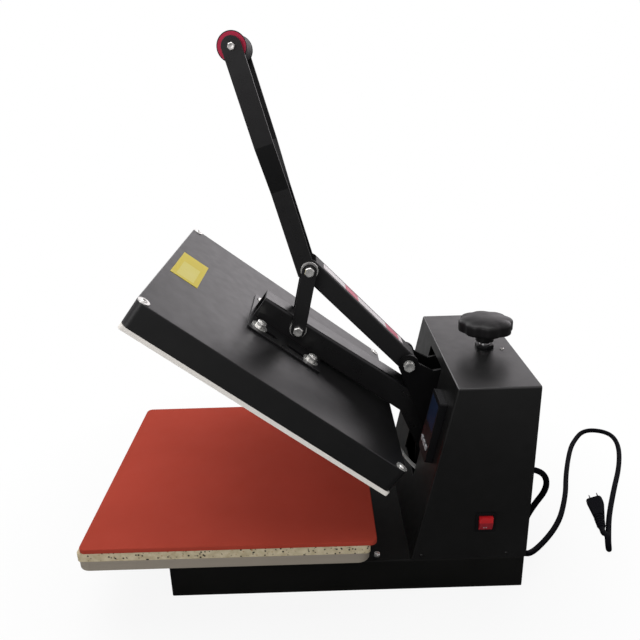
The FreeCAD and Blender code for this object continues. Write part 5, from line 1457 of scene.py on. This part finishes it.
@dataclass
class Studio:
    """Camera, floor, world and lamps, in metres, radians and picture points.

    A wall is a level for each height of a ray. The window and the turn from the near wall to the
    far one go by a ray's direction, and the floor's two ranges by the distance from the press.
    """

    eye: Point = (0.8628, 0.02145, 0.6690)
    yaw: float = 0.0025
    pitch: float = 0.3462
    roll: float = -0.0288
    focal: float = 646.3
    picture: float = 640.0
    sensor: float = 36.0
    nearest: float = 0.01
    room_level: float = 0.36
    room_tint: Point = (1.0, 0.955, 0.985)
    far_level: float = 1.85
    far_wall: Stops = (
        (-0.10, 0.14), (0.00, 0.25), (0.06, 0.31), (0.10, 0.42), (0.14, 0.60), (0.19, 0.80),
        (0.27, 0.97), (0.33, 0.68), (0.38, 0.51), (0.43, 0.29), (0.55, 0.08), (0.70, 0.05),
        (1.00, 0.18),
    )
    near_level: float = 1.0
    near_wall: Stops = (
        (-0.40, 0.10), (-0.12, 0.20), (-0.02, 0.42), (0.15, 0.50), (0.45, 0.90), (1.00, 0.80),
    )
    window: tuple[float, ...] = (0.1, 0.5, 0.75, 2.10)
    turn: tuple[float, ...] = (-0.75, -0.25)
    floor_half: float = 6.0
    floor_tone: Point = (0.62, 0.62, 0.62)
    # painted shade: the floor's tone in reflections, dark near the press and lighter farther off
    floor_reflected_shade: tuple[float, ...] = (0.60, 0.95, 0.07, 0.23)
    floor_whiter: tuple[float, ...] = (0.30, 0.62, 0.90, 1.0)
    lamps: Sequence[tuple[str, Point, Point, float, float]] = (
        ("ceiling light", (-0.3, -0.3, 2.6), (0.0, 0.0, 0.2), 2.2, 46.0),
        ("window light", (-1.9, -0.9, 1.6), (0.0, 0.0, 0.3), 1.8, 18.0),
        ("front fill", (1.7, -1.3, 1.2), (0.0, 0.0, 0.15), 1.4, 16.0),
    )

    def build(self) -> None:
        """Makes the camera first, then what lights and carries the press."""
        self.add_camera()
        self.add_world()
        self.add_floor()
        self.add_lamps()

    def add_camera(self) -> None:
        """The photograph's camera."""
        level, drop = math.cos(self.pitch), -math.sin(self.pitch)
        forward = Vector((-math.cos(self.yaw) * level, math.sin(self.yaw) * level, drop))
        right = forward.cross(UP).normalized()
        up = right.cross(forward)
        c, s = math.cos(self.roll), math.sin(self.roll)
        data = bpy.data.cameras.new("photo camera")
        data.sensor_width = self.sensor
        data.lens = self.focal * self.sensor / self.picture
        data.clip_start = self.nearest
        camera = added("photo camera", data)
        turn = Matrix((c * right + s * up, c * up - s * right, -forward)).transposed()
        camera.matrix_world = Matrix.Translation(self.eye) @ turn.to_4x4()
        bpy.context.scene.camera = camera

    def add_world(self) -> None:
        """A plain room: white to look at, and for what reflects it brighter on the far side."""
        world = bpy.data.worlds.new("plain room")
        world.use_nodes = True
        room = Nodes(world.node_tree)
        rays = room.add("ShaderNodeLightPath").outputs
        across, along, height = room.parts(room.add("ShaderNodeTexCoord").outputs["Generated"])
        walls: list[Socket] = []
        for stops, crest in ((self.far_wall, self.far_level), (self.near_wall, self.near_level)):
            ramp = room.add("ShaderNodeValToRGB", {0: room.ranged(height, -1.0, 1.0)})
            points = ramp.color_ramp.elements
            while len(points) < len(stops):
                points.new(0.5)
            for point, (high, level) in zip(points, stops):
                point.position = (high + 1) / 2
                point.color = (level, level, level, 1.0)
            walls.append(room.math("MULTIPLY", ramp.outputs[0], crest))
        far = room.math("MULTIPLY", walls[0], room.ranged(along, *self.window))
        gloss = room.between(room.ranged(across, *self.turn, curve="SMOOTHSTEP"), far, walls[1])
        soft = room.between(rays["Is Glossy Ray"], self.room_level, gloss)
        seen = room.math("MAXIMUM", rays["Is Camera Ray"], rays["Is Transmission Ray"])
        back = room.add("ShaderNodeBackground", {
            "Color": room.mixed(rays["Is Glossy Ray"], (1.0, 1.0, 1.0), self.room_tint),
            "Strength": room.between(seen, soft, 1.0)})
        room.add("ShaderNodeOutputWorld", {0: back.outputs[0]})
        bpy.context.scene.world = world

    def add_floor(self) -> None:
        """A pale floor that keeps a soft shadow near the press and is white farther off. In reflections it
        is painted dark, darkest near the press, as painted shade.
        """
        half = self.floor_half
        corners = [(-half, -half, 0), (half, -half, 0), (half, half, 0), (-half, half, 0)]
        mesh = bpy.data.meshes.new("pale floor")
        mesh.from_pydata(corners, [], [(0, 1, 2, 3)])
        floor = added("pale_floor", mesh)
        material = bpy.data.materials.new("pale floor")
        material.use_nodes = True
        look = Nodes(material.node_tree)
        rays = look.add("ShaderNodeLightPath").outputs
        far = look.length(look.add("ShaderNodeTexCoord").outputs["Object"])
        # painted shade: reflected rays see the floor dark, darkest near the press
        reflected_floor_shade = look.ranged(far, *self.floor_reflected_shade)
        tone = look.mixed(rays["Is Glossy Ray"], self.floor_tone, reflected_floor_shade)
        matt = look.add("ShaderNodeBsdfDiffuse", {"Color": tone}).outputs[0]
        white = look.add("ShaderNodeEmission", {"Strength": 1.0}).outputs[0]
        share = look.math("MULTIPLY", rays["Is Camera Ray"], look.ranged(far, *self.floor_whiter))
        both = look.add("ShaderNodeMixShader", {0: share, 1: matt, 2: white})
        look.add("ShaderNodeOutputMaterial", {0: both.outputs[0]})
        mesh.materials.append(material)

    def add_lamps(self) -> None:
        """The soft lamps: for each its name, place, aim, side and power in watts."""
        for name, place, aim, side, power in self.lamps:
            data = bpy.data.lights.new(name, "AREA")
            data.shape = "SQUARE"
            data.size = side
            data.energy = power
            lamp = added(name, data)
            lamp.location = place
            lamp.rotation_euler = (Vector(aim) - Vector(place)).to_track_quat("-Z", "Y").to_euler()


def main() -> None:
    """Builds the studio and every sub-assembly, in order."""
    logging.basicConfig(level=logging.INFO, format="%(name)s: %(message)s")
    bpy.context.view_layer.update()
    bpy.context.scene.view_settings.view_transform = "Standard"
    Studio().build()
    tools = Toolbox()
    for kind in (
        MainsLead, HeaterLeads, BaseAndTable, Housing, HeatedPlaten, Linkage, PressureScrew, Controls
    ):
        assembly = kind(tools)
        assembly.build()
        log.info("%s: %s", kind.__name__, ", ".join(assembly.made))


if __name__ == "__main__":
    main()
